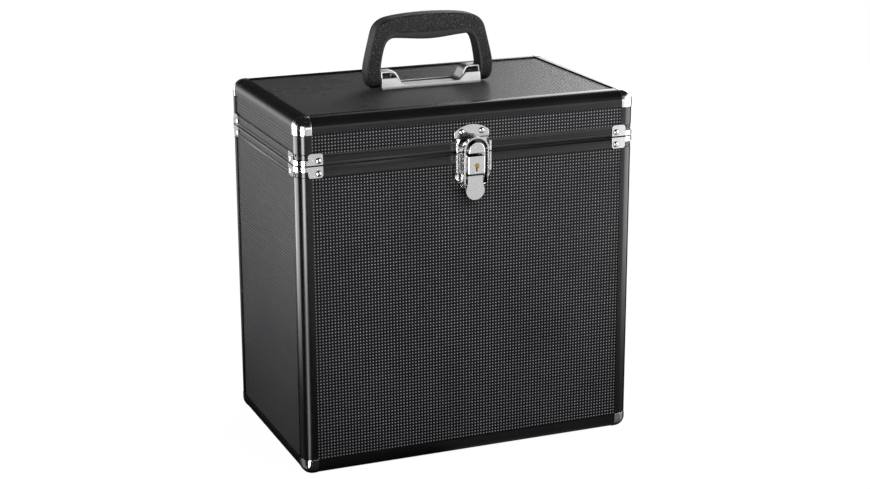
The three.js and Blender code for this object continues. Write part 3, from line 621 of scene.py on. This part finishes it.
class CASE_OT_profiles(bpy.types.Operator):
    """Finish the posts, the rails and the seam frames"""

    bl_idname = "case.profiles"
    bl_label = "Edge Profiles"

    def execute(self, context):
        bevel = sizes().metal_bevel
        for end, _, _ in ENDS:
            for prefix in ("body_post_", "lid_post_"):
                finished(prefix + end, anodised(2), bevel)
        for side, along, _ in SIDES:
            for prefix in ("bottom_rail_", "top_rail_"):
                finished(prefix + side, anodised(along), bevel)
        seam_frame("body_seam_frame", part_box("body_bracket_front_left")[1].z)
        seam_frame("lid_seam_frame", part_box("lid_bracket_front_left")[0].z)
        return {"FINISHED"}


# Panels and linings

DOT_SIDES = 6
DOT_TOP_SHARE = 0.55
DOT_SUNK_SHARE = 0.1
DOT_SMOOTH_ANGLE = math.radians(60)


def raised_dots(node, across, up, side, window):
    """Rows of domes on a panel's outer face, within its window as (low, high) across and (low, high) up."""
    size = sizes()
    pitch, radius, height = size.dot_pitch, size.dot_radius, size.dot_height
    outward = Vector()
    outward[3 - across - up] = side
    first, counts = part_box(node)[1 if side > 0 else 0].copy(), {}
    for axis, (low, high) in zip((across, up), window):
        start = math.ceil((low + radius) / pitch - 0.5)
        counts[axis] = math.floor((high - radius) / pitch - 0.5) - start + 1
        first[axis] = (start + 0.5) * pitch
    sunk = height * DOT_SUNK_SHARE
    squeeze = Matrix.Diagonal((1 / size.dot_narrowing, 1, 1, 1))
    place = facing(first + outward * (height / 2 - sunk), outward) @ squeeze
    part = bmesh.new()
    bmesh.ops.create_cone(part, cap_ends=True, segments=DOT_SIDES, radius1=radius, radius2=radius * DOT_TOP_SHARE,
                          depth=height + sunk, matrix=place)
    piece = settle(part, node + "_dots", laminate(across, up), node, weighted=False)
    piece.data.set_sharp_from_angle(angle=DOT_SMOOTH_ANGLE)
    for axis, count in counts.items():
        rows = piece.modifiers.new("rows", "ARRAY")
        rows.count = count
        rows.use_relative_offset = False
        rows.use_constant_offset = True
        rows.constant_offset_displace = [pitch if i == axis else 0 for i in range(3)]


class CASE_OT_panels(bpy.types.Operator):
    """Face the panels with the dotted laminate"""

    bl_idname = "case.panels"
    bl_label = "Panels"

    def execute(self, context):
        inner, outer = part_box("body_post_front_left")[1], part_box("body_post_back_right")[0]
        spans = (inner.x, outer.x), (inner.y, outer.y)
        heights = {"body_": (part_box("bottom_rail_front")[1].z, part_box("body_seam_frame")[0].z),
                   "lid_": (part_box("lid_seam_frame")[1].z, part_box("top_rail_front")[0].z)}
        for prefix, height in heights.items():
            for side, across, outward in SIDES:
                node = prefix + side + "_panel"
                dress(node, laminate(across, 2))
                raised_dots(node, across, 2, outward, (spans[across], height))
        for node, outward in (("bottom_panel", -1), ("lid_top_panel", 1)):
            dress(node, laminate(0, 1))
            raised_dots(node, 0, 1, outward, spans)
        return {"FINISHED"}


class CASE_OT_linings(bpy.types.Operator):
    """Line the body and the lid with felt"""

    bl_idname = "case.linings"
    bl_label = "Linings"

    def execute(self, context):
        size = sizes()
        felt = material("felt_lining", make_felt, colours().felt)
        for node, open_side in (("body_lining", 1), ("lid_lining", -1)):
            low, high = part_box(node)
            middle = (low + high) / 2
            part = bmesh.new()
            place = Matrix.Translation(middle) @ Matrix.Diagonal((*(high - low), 1))
            bmesh.ops.create_cube(part, size=1.0, matrix=place)
            mouth = [f for f in part.faces if f.normal.z * open_side > 0.5]
            bmesh.ops.delete(part, geom=mouth, context="FACES")
            folds = [e for e in part.edges if len(e.link_faces) == 2]
            bevelled(part, folds, size.felt_fold, segments=4, clamp=False)
            outward_faces(part)
            first = part.faces[:][0]
            if first.normal.dot(first.calc_center_median() - middle) < 0:
                bmesh.ops.reverse_faces(part, faces=part.faces)
            thickened(part, size.felt_sheet)
            settle(part, node + "_felt", felt, node, [node])
        return {"FINISHED"}


# Three-way corners


def corner_casting():
    """A corner drawn with its outer point at the origin and its legs pointing to plus."""
    size = sizes()
    reach = Vector((size.corner_leg, size.corner_leg, size.corner_height))
    place = Matrix.Diagonal((*reach, 1)) @ Matrix.Translation((0.5, 0.5, 0.5))
    part = bmesh.new()
    bmesh.ops.create_cube(part, size=1.0, matrix=place)
    inner = [f for f in part.faces if max(f.normal) > 0.5]
    bmesh.ops.delete(part, geom=inner, context="FACES")
    folds = [e for e in part.edges if len(e.link_faces) == 2]
    bevelled(part, folds, size.corner_radius, segments=8, clamp=False)
    thickened(part, size.corner_wall)
    broken_edges(part, size.metal_bevel)
    return part


class CASE_OT_corners(bpy.types.Operator):
    """Cast the eight three-way corners"""

    bl_idname = "case.corners"
    bl_label = "Three-way Corners"

    def execute(self, context):
        for prefix, sz in CORNERS:
            for end, sx, sy in ENDS:
                node = prefix + end
                part = corner_casting()
                tip = far_point(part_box(node), (sx, sy, sz))
                moved(part, Matrix.Translation(tip) @ Matrix.Diagonal((-sx, -sy, -sz, 1)))
                settle(part, node + "_cast", bright_plating(), node, [node])
        return {"FINISHED"}


# Seam brackets

TAB_STEPS = 6
BEND_STEPS = 12
# The direction from a bend's centre to the middle of the bend
BEND_MIDDLE = math.radians(225)


def line_to(part, start, x, y):
    """Draws an edge from a vertex to a point, and gives back its end."""
    end = part.verts.new((x, y, 0))
    part.edges.new((start, end))
    return end


def arc_about(part, start, x, y):
    """Carries a vertex a quarter turn round a point, and gives back the arc's end."""
    spun = bmesh.ops.spin(part, geom=[start], cent=(x, y, 0), axis=(0, 0, 1), angle=QUARTER, steps=TAB_STEPS)
    return next(v for v in spun["geom_last"] if isinstance(v, bmesh.types.BMVert))


def seam_bracket(reach, tab_height):
    """A bracket drawn flat and bent round the corner at the origin, with its legs along plus X and plus Y."""
    size = sizes()
    bend, band, r = size.corner_radius, size.bracket_band, size.bracket_tab_radius
    arc_length = bend * QUARTER
    half = arc_length / 2 + reach - bend
    foot = arc_length / 2 + r
    top = tab_height - r
    part = bmesh.new()
    first = last = part.verts.new((-half, 0, 0))
    for draw, x, y in (
        (line_to, half, 0), (line_to, half, top), (arc_about, half - r, top),
        (line_to, foot, tab_height), (arc_about, foot, top),
        (line_to, foot - r, band), (line_to, r - foot, band), (line_to, r - foot, top),
        (arc_about, -foot, top), (line_to, r - half, tab_height), (arc_about, r - half, top),
    ):
        last = draw(part, last, x, y)
    part.edges.new((last, first))
    bmesh.ops.contextual_create(part, geom=part.edges[:])
    for i in range(BEND_STEPS + 1):
        cut(part, (-arc_length / 2 + arc_length * i / BEND_STEPS, 0, 0), (1, 0, 0))
    for vert in part.verts:
        along, rise = vert.co.x, vert.co.y
        turn = max(-QUARTER / 2, min(QUARTER / 2, along / bend))
        lean = turn + BEND_MIDDLE
        heading = Vector((-math.sin(lean), math.cos(lean), 0))
        spot = Vector((bend + bend * math.cos(lean), bend + bend * math.sin(lean), rise))
        vert.co = spot + heading * (along - turn * bend)
    outward_faces(part)
    if sum((f.normal.x + f.normal.y) * f.calc_area() for f in part.faces) > 0:
        bmesh.ops.reverse_faces(part, faces=part.faces)
    thickened(part, size.bracket_sheet)
    broken_edges(part, size.bracket_rounding, segments=3)
    return part


class CASE_OT_brackets(bpy.types.Operator):
    """Press the brackets that clasp the seam"""

    bl_idname = "case.brackets"
    bl_label = "Seam Brackets"

    def execute(self, context):
        back, relief = sizes().bracket_setback, sizes().seam_relief
        for prefix, sz in BRACKETS:
            for end, sx, sy in ENDS:
                node = prefix + end
                low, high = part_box(node)
                part = seam_bracket(high.x - low.x - back, high.z - low.z - relief)
                tip = far_point((low, high), (sx, sy, -sz)) - Vector((sx * back, sy * back, -sz * relief))
                moved(part, Matrix.Translation(tip) @ Matrix.Diagonal((-sx, -sy, sz, 1)))
                settle(part, node + "_pressed", bright_plating(), node, [node])
        return {"FINISHED"}


# Screws

# A head's cross-section from its rim to its middle, in shares of the radius and of the height
HEAD_SHARES = ((1, 0.03), (0.84, 0.03), (0.82, 0.36), (0.68, 0.74), (0.38, 0.95), (0, 1))
HEAD_STEPS = 24
# How far the head reaches inside its painted dark ring, and how high the slot's floor lies, in the same shares
HEAD_REACH, SLOT_FLOOR = 0.83, 0.3
# The flatness of the heads on the brackets' sides and on the hinge
SIDE_FLATNESS, HINGE_FLATNESS = 0.48, 0.8


def screw_head(flatness):
    """A slotted round head at the origin, facing plus Z, with its slot along Y; flatness 1 is its full height."""
    size = sizes()
    ring, height = size.screw_radius, size.screw_height * flatness
    part = bmesh.new()
    recess_shade = part.verts.layers.float.new("recess_shade")
    knots = [part.verts.new((ring * r, 0, height * z)) for r, z in HEAD_SHARES]
    line = [part.edges.new(pair) for pair in zip(knots, knots[1:])]
    bmesh.ops.spin(part, geom=knots + line, cent=(0, 0, 0), axis=(0, 0, 1), angle=2 * math.pi, steps=HEAD_STEPS,
                   use_merge=True)
    bmesh.ops.remove_doubles(part, verts=part.verts, dist=WELD)
    for side in (-1, 1):
        cut(part, (side * size.slot_width / 2, 0, 0), (1, 0, 0))
    head = ring * HEAD_REACH
    # Marks the ring round the head, and below the slot, where the material paints shade
    for vert in part.verts:
        vert[recess_shade] = 1.0 if vert.co.xy.length > head else 0.0
    middles = [(face, face.calc_center_median()) for face in part.faces]
    slot = [face for face, middle in middles if abs(middle.x) < size.slot_width / 2 and middle.xy.length < head]
    sunk = bmesh.ops.extrude_face_region(part, geom=slot)["geom"]
    bmesh.ops.delete(part, geom=slot, context="FACES_ONLY")
    for vert in (v for v in sunk if isinstance(v, bmesh.types.BMVert)):
        vert.co.z = min(vert.co.z, height * SLOT_FLOOR)
        vert[recess_shade] = 1.0
    outward_faces(part)
    return meshed(part, "screw head")


def screws(name, like, places):
    """A set of screws, each given by its place, its outward direction, its slot's turn and its flatness."""
    part = bmesh.new()
    for place, outward, turn, flatness in places:
        head = screw_head(flatness)
        known = set(part.verts)
        part.from_mesh(head)
        bpy.data.meshes.remove(head)
        new = [v for v in part.verts if v not in known]
        bmesh.ops.transform(part, matrix=facing(place, outward, turn), verts=new)
    settle(part, name, material("screw_steel", make_screw, colours().chrome), like)


class CASE_OT_screws(bpy.types.Operator):
    """Drive the screws of the brackets and of the latch"""

    bl_idname = "case.screws"
    bl_label = "Screws"

    def execute(self, context):
        size = sizes()
        back, inset = size.bracket_setback, size.screw_inset
        for prefix, sz in BRACKETS:
            places = []
            for end, sx, sy in ENDS:
                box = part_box(prefix + end)
                far, near = far_point(box, (sx, sy, sz)), far_point(box, (-sx, -sy, -sz))
                z = near.z + (size.screw_rise if sz > 0 else -size.screw_drop)
                front = Vector((near.x + sx * inset, far.y - sy * back, z))
                side = Vector((far.x - sx * back, near.y + sy * inset, z))
                places.append((front, Vector((0, sy, 0)), 0.5 + sx * 0.3, 1.0))
                places.append((side, Vector((sx, 0, 0)), 1.1 - sy * 0.4, SIDE_FLATNESS))
            screws(prefix + "screws", prefix + "front_left", places)
        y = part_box("lid_front_panel")[0].y - size.catch_thickness
        places = [(Vector((side * size.catch_screw_reach, y, size.catch_screw_height)), Vector((0, -1, 0)),
                   0.4 + side * 0.5, 1.0) for side in (-1, 1)]
        screws("catch_screws", "latch_catch", places)
        return {"FINISHED"}


# Latch and hinge


class CASE_OT_latch(bpy.types.Operator):
    """Finish the plates, the loop, the lever and the lock"""

    bl_idname = "case.latch"
    bl_label = "Draw Latch"

    def execute(self, context):
        bevel = sizes().fitting_bevel
        for node in ("latch_base", "latch_catch", "latch_loop", "lock_case"):
            finished(node, fitting_plating(), bevel * 0.6)
        finished("latch_lever", fitting_plating(), bevel)
        finished("lock_barrel", material("brass_barrel", make_chrome, colours().brass, level=0.25), bevel * 0.4)
        finished("lever_pin", steel(), bevel * 0.5)
        return {"FINISHED"}


class CASE_OT_hinge(bpy.types.Operator):
    """Finish the hinge's leaves and pin, and screw the leaves down"""

    bl_idname = "case.hinge"
    bl_label = "Hinge"

    def execute(self, context):
        size = sizes()
        for node, side in (("hinge_body_leaf", -1), ("hinge_lid_leaf", 1)):
            finished(node, anodised(0), size.metal_bevel)
            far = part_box(node)[1 if side > 0 else 0].z
            face = max(v.co.y for v in frame["nodes"][node].data.vertices if abs(v.co.z - far) < LEVEL)
            z = far - side * size.hinge_screw_inset
            places = [(Vector((i * size.hinge_screw_pitch / 2, face, z)), Vector((0, 1, 0)), 0.6 + i * 0.9,
                       HINGE_FLATNESS) for i in range(-5, 6, 2)]
            screws(node + "_screws", node, places)
        finished("hinge_pin", steel(), size.metal_bevel)
        return {"FINISHED"}


# Handle

# The right half of the handle's outer and inner outline as cubic curves, from the crown's middle to the foot,
# in shares of the half width and of the height over the mount
OUTER_SHARES = (
    ((0, 1), (0.24, 1), (0.53, 0.985), (0.675, 0.95)),
    ((0.675, 0.95), (0.782, 0.92), (0.848, 0.859), (0.875, 0.767)),
    ((0.875, 0.767), (0.925, 0.58), (0.985, 0.4), (1, 0.27)),
    ((1, 0.27), (1, 0.15), (0.985, 0.035), (0.9, 0.007)),
)
INNER_SHARES = (
    ((0, 0.648), (0.2, 0.648), (0.38, 0.68), (0.58, 0.688)),
    ((0.58, 0.688), (0.63, 0.684), (0.67, 0.663), (0.701, 0.625)),
    ((0.701, 0.625), (0.745, 0.56), (0.775, 0.4), (0.796, 0.27)),
    ((0.796, 0.27), (0.796, 0.18), (0.796, 0.09), (0.796, 0.012)),
)
CURVE_STEPS = (12, 6, 9, 8)
# How wide the smooth band is at the ends of those curves, in shares of its width at the crown
BAND_SHARES = (1, 0.8, 0.34, 0.2, 0.1)
# The zones of the handle's surface, as its attribute numbers them
FACE, BAND, WALL = 0, 1, 2
# The band's cross-section from the inner wall on, in shares of its width and of its fall
BAND_SECTION = ((0.2, 0.66, BAND), (0.55, 0.3, BAND), (0.92, 0.05, BAND), (1.06, 0.0, FACE))
ROUNDING_STEPS = 5


def outline_points(shares, half_width, height, base):
    points = []
    for curve, steps in zip(shares, CURVE_STEPS):
        knots = [Vector((half_width * u, 0, base + height * v)) for u, v in curve]
        points += interpolate_bezier(*knots, steps + 1)[1 if points else 0:]
    return points


def band_shares():
    shares = []
    for start, end, steps in zip(BAND_SHARES, BAND_SHARES[1:], CURVE_STEPS):
        shares += [start + (end - start) * i / steps for i in range(steps)]
    return shares + [BAND_SHARES[-1]]


def grip_section(width, half_depth, share):
    """Half of a cross-section as (distance from the inner edge, depth, zone)."""
    size = sizes()
    band, fall = size.grip_chamfer * share, size.grip_chamfer_depth * (0.3 + 0.7 * share)
    rounding = min(size.grip_rounding, width * 0.4)
    points = [(0.0, 0.0, WALL), (0.0, (half_depth - fall) * 0.7, WALL), (0.0001, half_depth - fall * 1.1, WALL)]
    points += [(band * out, half_depth - fall * back, zone) for out, back, zone in BAND_SECTION]
    start, rest = points[-1][0], width - rounding
    points += [(start + (rest - start) * t, half_depth, FACE) for t in (0.33, 0.66)]
    for i in range(ROUNDING_STEPS + 1):
        turn = QUARTER * i / ROUNDING_STEPS
        points.append((rest + rounding * math.sin(turn), half_depth - rounding * (1 - math.cos(turn)), FACE))
    return points + [(width, 0.0, FACE)]


def grip_bail():
    """The handle: its cross-section carried along the right half of its outline, bridged and mirrored."""
    low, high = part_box("handle_bail")
    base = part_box("handle_tray")[0].z
    pivot = joint_point("handle_fold")
    half_depth = (high.y - low.y) / 2
    outer, inner = (outline_points(shares, high.x, high.z - base, base) for shares in (OUTER_SHARES, INNER_SHARES))
    part = bmesh.new()
    zones = part.verts.layers.float.new("zone")
    rings, rims = [], []
    for out, into, share in zip(outer, inner, band_shares()):
        across = out - into
        half = grip_section(across.length, half_depth, share)
        loop = half + [(n, -depth, zone) for n, depth, zone in half[-2:0:-1]]
        ring = bmesh.ops.create_circle(part, segments=len(loop), radius=half_depth)["verts"]
        for vert, (n, depth, zone) in zip(ring, loop):
            spot = into + across.normalized() * n
            drop = max(0.0, min(1.0, (pivot.z - spot.z) / half_depth))
            vert.co = Vector((spot.x, pivot.y + depth * math.sqrt(1 - drop * drop), spot.z))
            vert[zones] = zone
        rings.append(ring)
        rims.append(list(dict.fromkeys(e for v in ring for e in v.link_edges)))
    for first, second in zip(rims, rims[1:]):
        bmesh.ops.bridge_loops(part, edges=first + second)
    end = [e for e in part.edges if e.is_boundary and all(v in rings[-1] for v in e.verts)]
    bmesh.ops.contextual_create(part, geom=end)
    for vert in rings[0]:
        vert.co.x = 0.0
    bmesh.ops.mirror(part, geom=everything(part), axis="X", merge_dist=LEVEL)
    outward_faces(part)
    return part


def mount_piece(node, foot, middle, half_depth):
    """A piece of the handle's mount with its bevels, whose walls lean together over an upright foot."""
    size = sizes()
    part = welded(node)
    broken_edges(part, size.fitting_bevel)
    shoulder = foot + 0.0001
    for level in (foot, shoulder):
        cut(part, (0, 0, level), (0, 0, 1))
    lean = math.tan(size.mount_lean)
    for vert in part.verts:
        rise = vert.co.z - shoulder
        if rise > -WELD:
            vert.co.y = middle + (vert.co.y - middle) * (1 - (size.mount_ledge + lean * rise) / half_depth)
    settle(part, node + "_finished", satin_plating(foot), node, [node])


class CASE_OT_handle(bpy.types.Operator):
    """Mould the handle and finish its mount"""

    bl_idname = "case.handle"
    bl_label = "Handle"

    def execute(self, context):
        size = sizes()
        pivot = joint_point("handle_fold")
        tray, (low, high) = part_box("handle_tray"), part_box("handle_bridge")
        for node in ("handle_tray", "handle_bridge"):
            mount_piece(node, tray[0].z + size.mount_foot, pivot.y, (high.y - low.y) / 2)
        piece = settle(grip_bail(), "handle_grip", grip(), "handle_bail", ["handle_bail"], weighted=False)
        rounding = piece.modifiers.new("rounding", "SUBSURF")
        rounding.levels = rounding.render_levels = 1
        part = bmesh.new()
        for side in (-1, 1):
            centre = Vector((side * (tray[1].x - size.boss_inset), pivot.y, pivot.z))
            place = Matrix.Translation(centre) @ Matrix.Rotation(QUARTER, 4, "Y")
            bmesh.ops.create_cone(part, cap_ends=True, segments=40, radius1=size.boss_radius,
                                  radius2=size.boss_radius, depth=size.boss_length, matrix=place)
        broken_edges(part, size.fitting_bevel)
        settle(part, "handle_bosses", grip(), "handle_bail")
        return {"FINISHED"}


# Studio

# Each lamp's place, target, width, height and power in watts
LAMPS = {
    "key_lamp": ((-1.1, -1.5, 2.0), (0, 0, 0.2), 1.2, 1.2, 14),
    "near_lamp": ((0.25, -0.6, 0.75), (0, -0.1, 0.33), 0.5, 0.3, 6),
    "back_lamp": ((1.0, 1.2, 1.6), (0, 0, 0.3), 1.0, 1.0, 18),
}
# Each patch of light in the studio, as polished metal sees it: the apex on the floor that it spreads from, its
# bearing in degrees left of the front, the half widths within which it is full and past which it is gone; then on
# the floor its level far off, its share near the case and the distances between which it rises; then in the sky its
# level, and the heights of a direction between which it fades
LEFT, MIDDLE, RIGHT = (-0.178, -0.107), (0.0, 0.0), (0.178, -0.107)
PATCHES = (
    ((LEFT, 33, 5, 16), (19.0, 0.26, 0.7, 1.15), (10.0, 0.1, 0.4)),
    ((LEFT, 122, 20, 34), (8.0, 0.02, 0.35, 1.0), (2.5, 0.1, 0.4)),
    ((MIDDLE, 165, 16, 32), (0.55, 0.0, -0.3, 1.9), (1.5, 0.0, 0.26)),
    ((MIDDLE, 165, 16, 32), (0.6, 0.0, 1.7, 4.0), (0.0, 0.1, 0.4)),
    ((MIDDLE, -135, 13, 24), (0.03, 1.0, 0.3, 1.1), (4.4, 0.4, 0.8)),
    ((RIGHT, -66, 20, 37), (4.2, 0.04, 0.3, 1.2), (3.2, 0.2, 0.7)),
    ((MIDDLE, -25, 24, 44), (0.64, 0.2, 0.15, 1.2), (1.5, 0.02, 0.32)),
    ((RIGHT, -38, 7, 14), (0.4, 0.0, 0.3, 0.8), (0.0, 0.1, 0.4)),
)
# The room's level between those patches, and its level to matt surfaces
DARK, PLAIN = 0.015, 0.48
WHITE = (1, 1, 1, 1)
# The floor's reach, its own colour, the strength of its white, and the share of white that the camera sees
FLOOR_REACH = 15.0
FLOOR_COLOUR = (0.35, 0.35, 0.35, 1)
FLOOR_WHITE = 1.12
FLOOR_SHARE = 0.87


def lamp(name, place, target, width, tall, watts):
    light = bpy.data.lights.new(name, "AREA")
    light.shape = "RECTANGLE"
    light.size = width
    light.size_y = tall
    light.energy = watts
    made = placed(name, light)
    made.location = place
    made.rotation_euler = (Vector(target) - Vector(place)).to_track_quat("-Z", "Y").to_euler()
    made.visible_glossy = False


def patch_of_light(x, y, bearing, inner, outer):
    """1 inside a sector of directions and 0 outside it."""
    turn, inner, outer = map(math.radians, (bearing, inner, outer))
    reach = (x * x + y * y) ** 0.5 + 0.0001
    alike = (x * -math.sin(turn) + y * -math.cos(turn)) / reach
    return alike.eased(math.cos(outer), math.cos(inner))


def studio_world(world):
    """White to the camera, even to matt surfaces, and patches of light in a dark room to polished ones."""
    world.use_nodes = True
    finish = Finish(world.node_tree)
    camera, glossy, through = finish.rays("Camera", "Glossy", "Transmission")
    x, y, z = finish.axes(finish.node("ShaderNodeTexCoord", None, (), "Generated"))
    gloss = DARK + sum(
        patch_of_light(x, y, *spread) * z.eased(full, gone, level, 0.0)
        for (_, *spread), _, (level, full, gone) in PATCHES
    )
    seen = camera.maths("MAXIMUM", camera, through)
    level = seen + (1.0 - seen) * (glossy * gloss + (1.0 - glossy) * PLAIN)
    background = finish.node("ShaderNodeBackground", None, {"Color": WHITE, "Strength": level})
    finish.node("ShaderNodeOutputWorld", None, {"Surface": background})
    world.cycles.sampling_method = "NONE"


def make_floor(finish):
    """Pale floor: nearly white to the camera, with a soft shadow, and lit in patches to polished metal."""
    camera, glossy = finish.rays("Camera", "Glossy")
    x, y, _ = finish.axes(finish.point())
    distance = (x * x + y * y) ** 0.5
    gloss = DARK + sum(
        patch_of_light(x - apex[0], y - apex[1], *spread) * distance.eased(near, far, level * least, level)
        for (apex, *spread), (level, least, near, far), _ in PATCHES
    )
    plain = finish.node("ShaderNodeBsdfDiffuse", None, {"Color": FLOOR_COLOUR})
    white = finish.node("ShaderNodeEmission", None, {"Color": WHITE, "Strength": FLOOR_WHITE})
    seen = finish.node("ShaderNodeMixShader", None, {0: camera * FLOOR_SHARE, 1: plain, 2: white})
    mirrored = finish.node("ShaderNodeEmission", None, {"Color": WHITE, "Strength": gloss})
    shader = finish.node("ShaderNodeMixShader", None, {0: glossy, 1: seen, 2: mirrored})
    finish.node("ShaderNodeOutputMaterial", None, {"Surface": shader})


class CASE_OT_stage(bpy.types.Operator):
    """Set the floor, the light and the camera"""

    bl_idname = "case.stage"
    bl_label = "Studio"

    def execute(self, context):
        scene = context.scene
        studio = scene.case_studio
        part = bmesh.new()
        bmesh.ops.create_grid(part, x_segments=1, y_segments=1, size=FLOOR_REACH)
        floor = placed("floor", meshed(part, "floor"))
        ground = material("pale_floor", make_floor)
        ground.cycles.emission_sampling = "NONE"
        floor.data.materials.append(ground)
        scene.world = scene.world or bpy.data.worlds.new("studio")
        studio_world(scene.world)
        for name, (*form, watts) in LAMPS.items():
            lamp(name, *form, watts * studio.lamp_level)
        view = bpy.data.cameras.new("camera")
        view.lens = studio.lens
        view.sensor_width = 36.0
        view.sensor_fit = "HORIZONTAL"
        view.clip_start, view.clip_end = 0.05, 60.0
        camera = placed("camera", view)
        heading, tilt, roll = studio.heading, studio.tilt, studio.roll
        ahead = Vector((math.sin(heading) * math.cos(tilt), math.cos(heading) * math.cos(tilt), math.sin(tilt)))
        level = Vector((math.cos(heading), -math.sin(heading), 0))
        down = ahead.cross(level)
        right = level * math.cos(roll) + down * math.sin(roll)
        above = level * math.sin(roll) - down * math.cos(roll)
        turn = Matrix((right, above, -ahead)).transposed().to_4x4()
        camera.matrix_world = Matrix.Translation(studio.eye) @ turn
        scene.camera = camera
        scene.view_settings.view_transform = "Standard"
        return {"FINISHED"}


class CASE_PT_tools(bpy.types.Panel):
    """Lists the case's steps and settings"""

    bl_label = "Record Case"
    bl_idname = "CASE_PT_tools"
    bl_space_type = "VIEW_3D"
    bl_region_type = "UI"
    bl_category = "Record Case"

    def draw(self, context):
        for step in STEPS:
            self.layout.operator(step.bl_idname)
        for settings in (context.scene.case_sizes, context.scene.case_colours, context.scene.case_studio):
            for name in settings.bl_rna.properties.keys()[2:]:
                self.layout.prop(settings, name)


STEPS = (CASE_OT_profiles, CASE_OT_panels, CASE_OT_linings, CASE_OT_corners, CASE_OT_brackets, CASE_OT_screws,
         CASE_OT_latch, CASE_OT_hinge, CASE_OT_handle, CASE_OT_stage)
CLASSES = (CaseSizes, CaseColours, StudioSettings, *STEPS, CASE_PT_tools)


def register():
    for each in CLASSES:
        bpy.utils.register_class(each)
    bpy.types.Scene.case_sizes = PointerProperty(type=CaseSizes)
    bpy.types.Scene.case_colours = PointerProperty(type=CaseColours)
    bpy.types.Scene.case_studio = PointerProperty(type=StudioSettings)


def unregister():
    del bpy.types.Scene.case_studio
    del bpy.types.Scene.case_colours
    del bpy.types.Scene.case_sizes
    for each in reversed(CLASSES):
        bpy.utils.unregister_class(each)


def main():
    register()
    for step in STEPS:
        group, name = step.bl_idname.split(".")
        getattr(getattr(bpy.ops, group), name)()


if __name__ == "__main__":
    main()
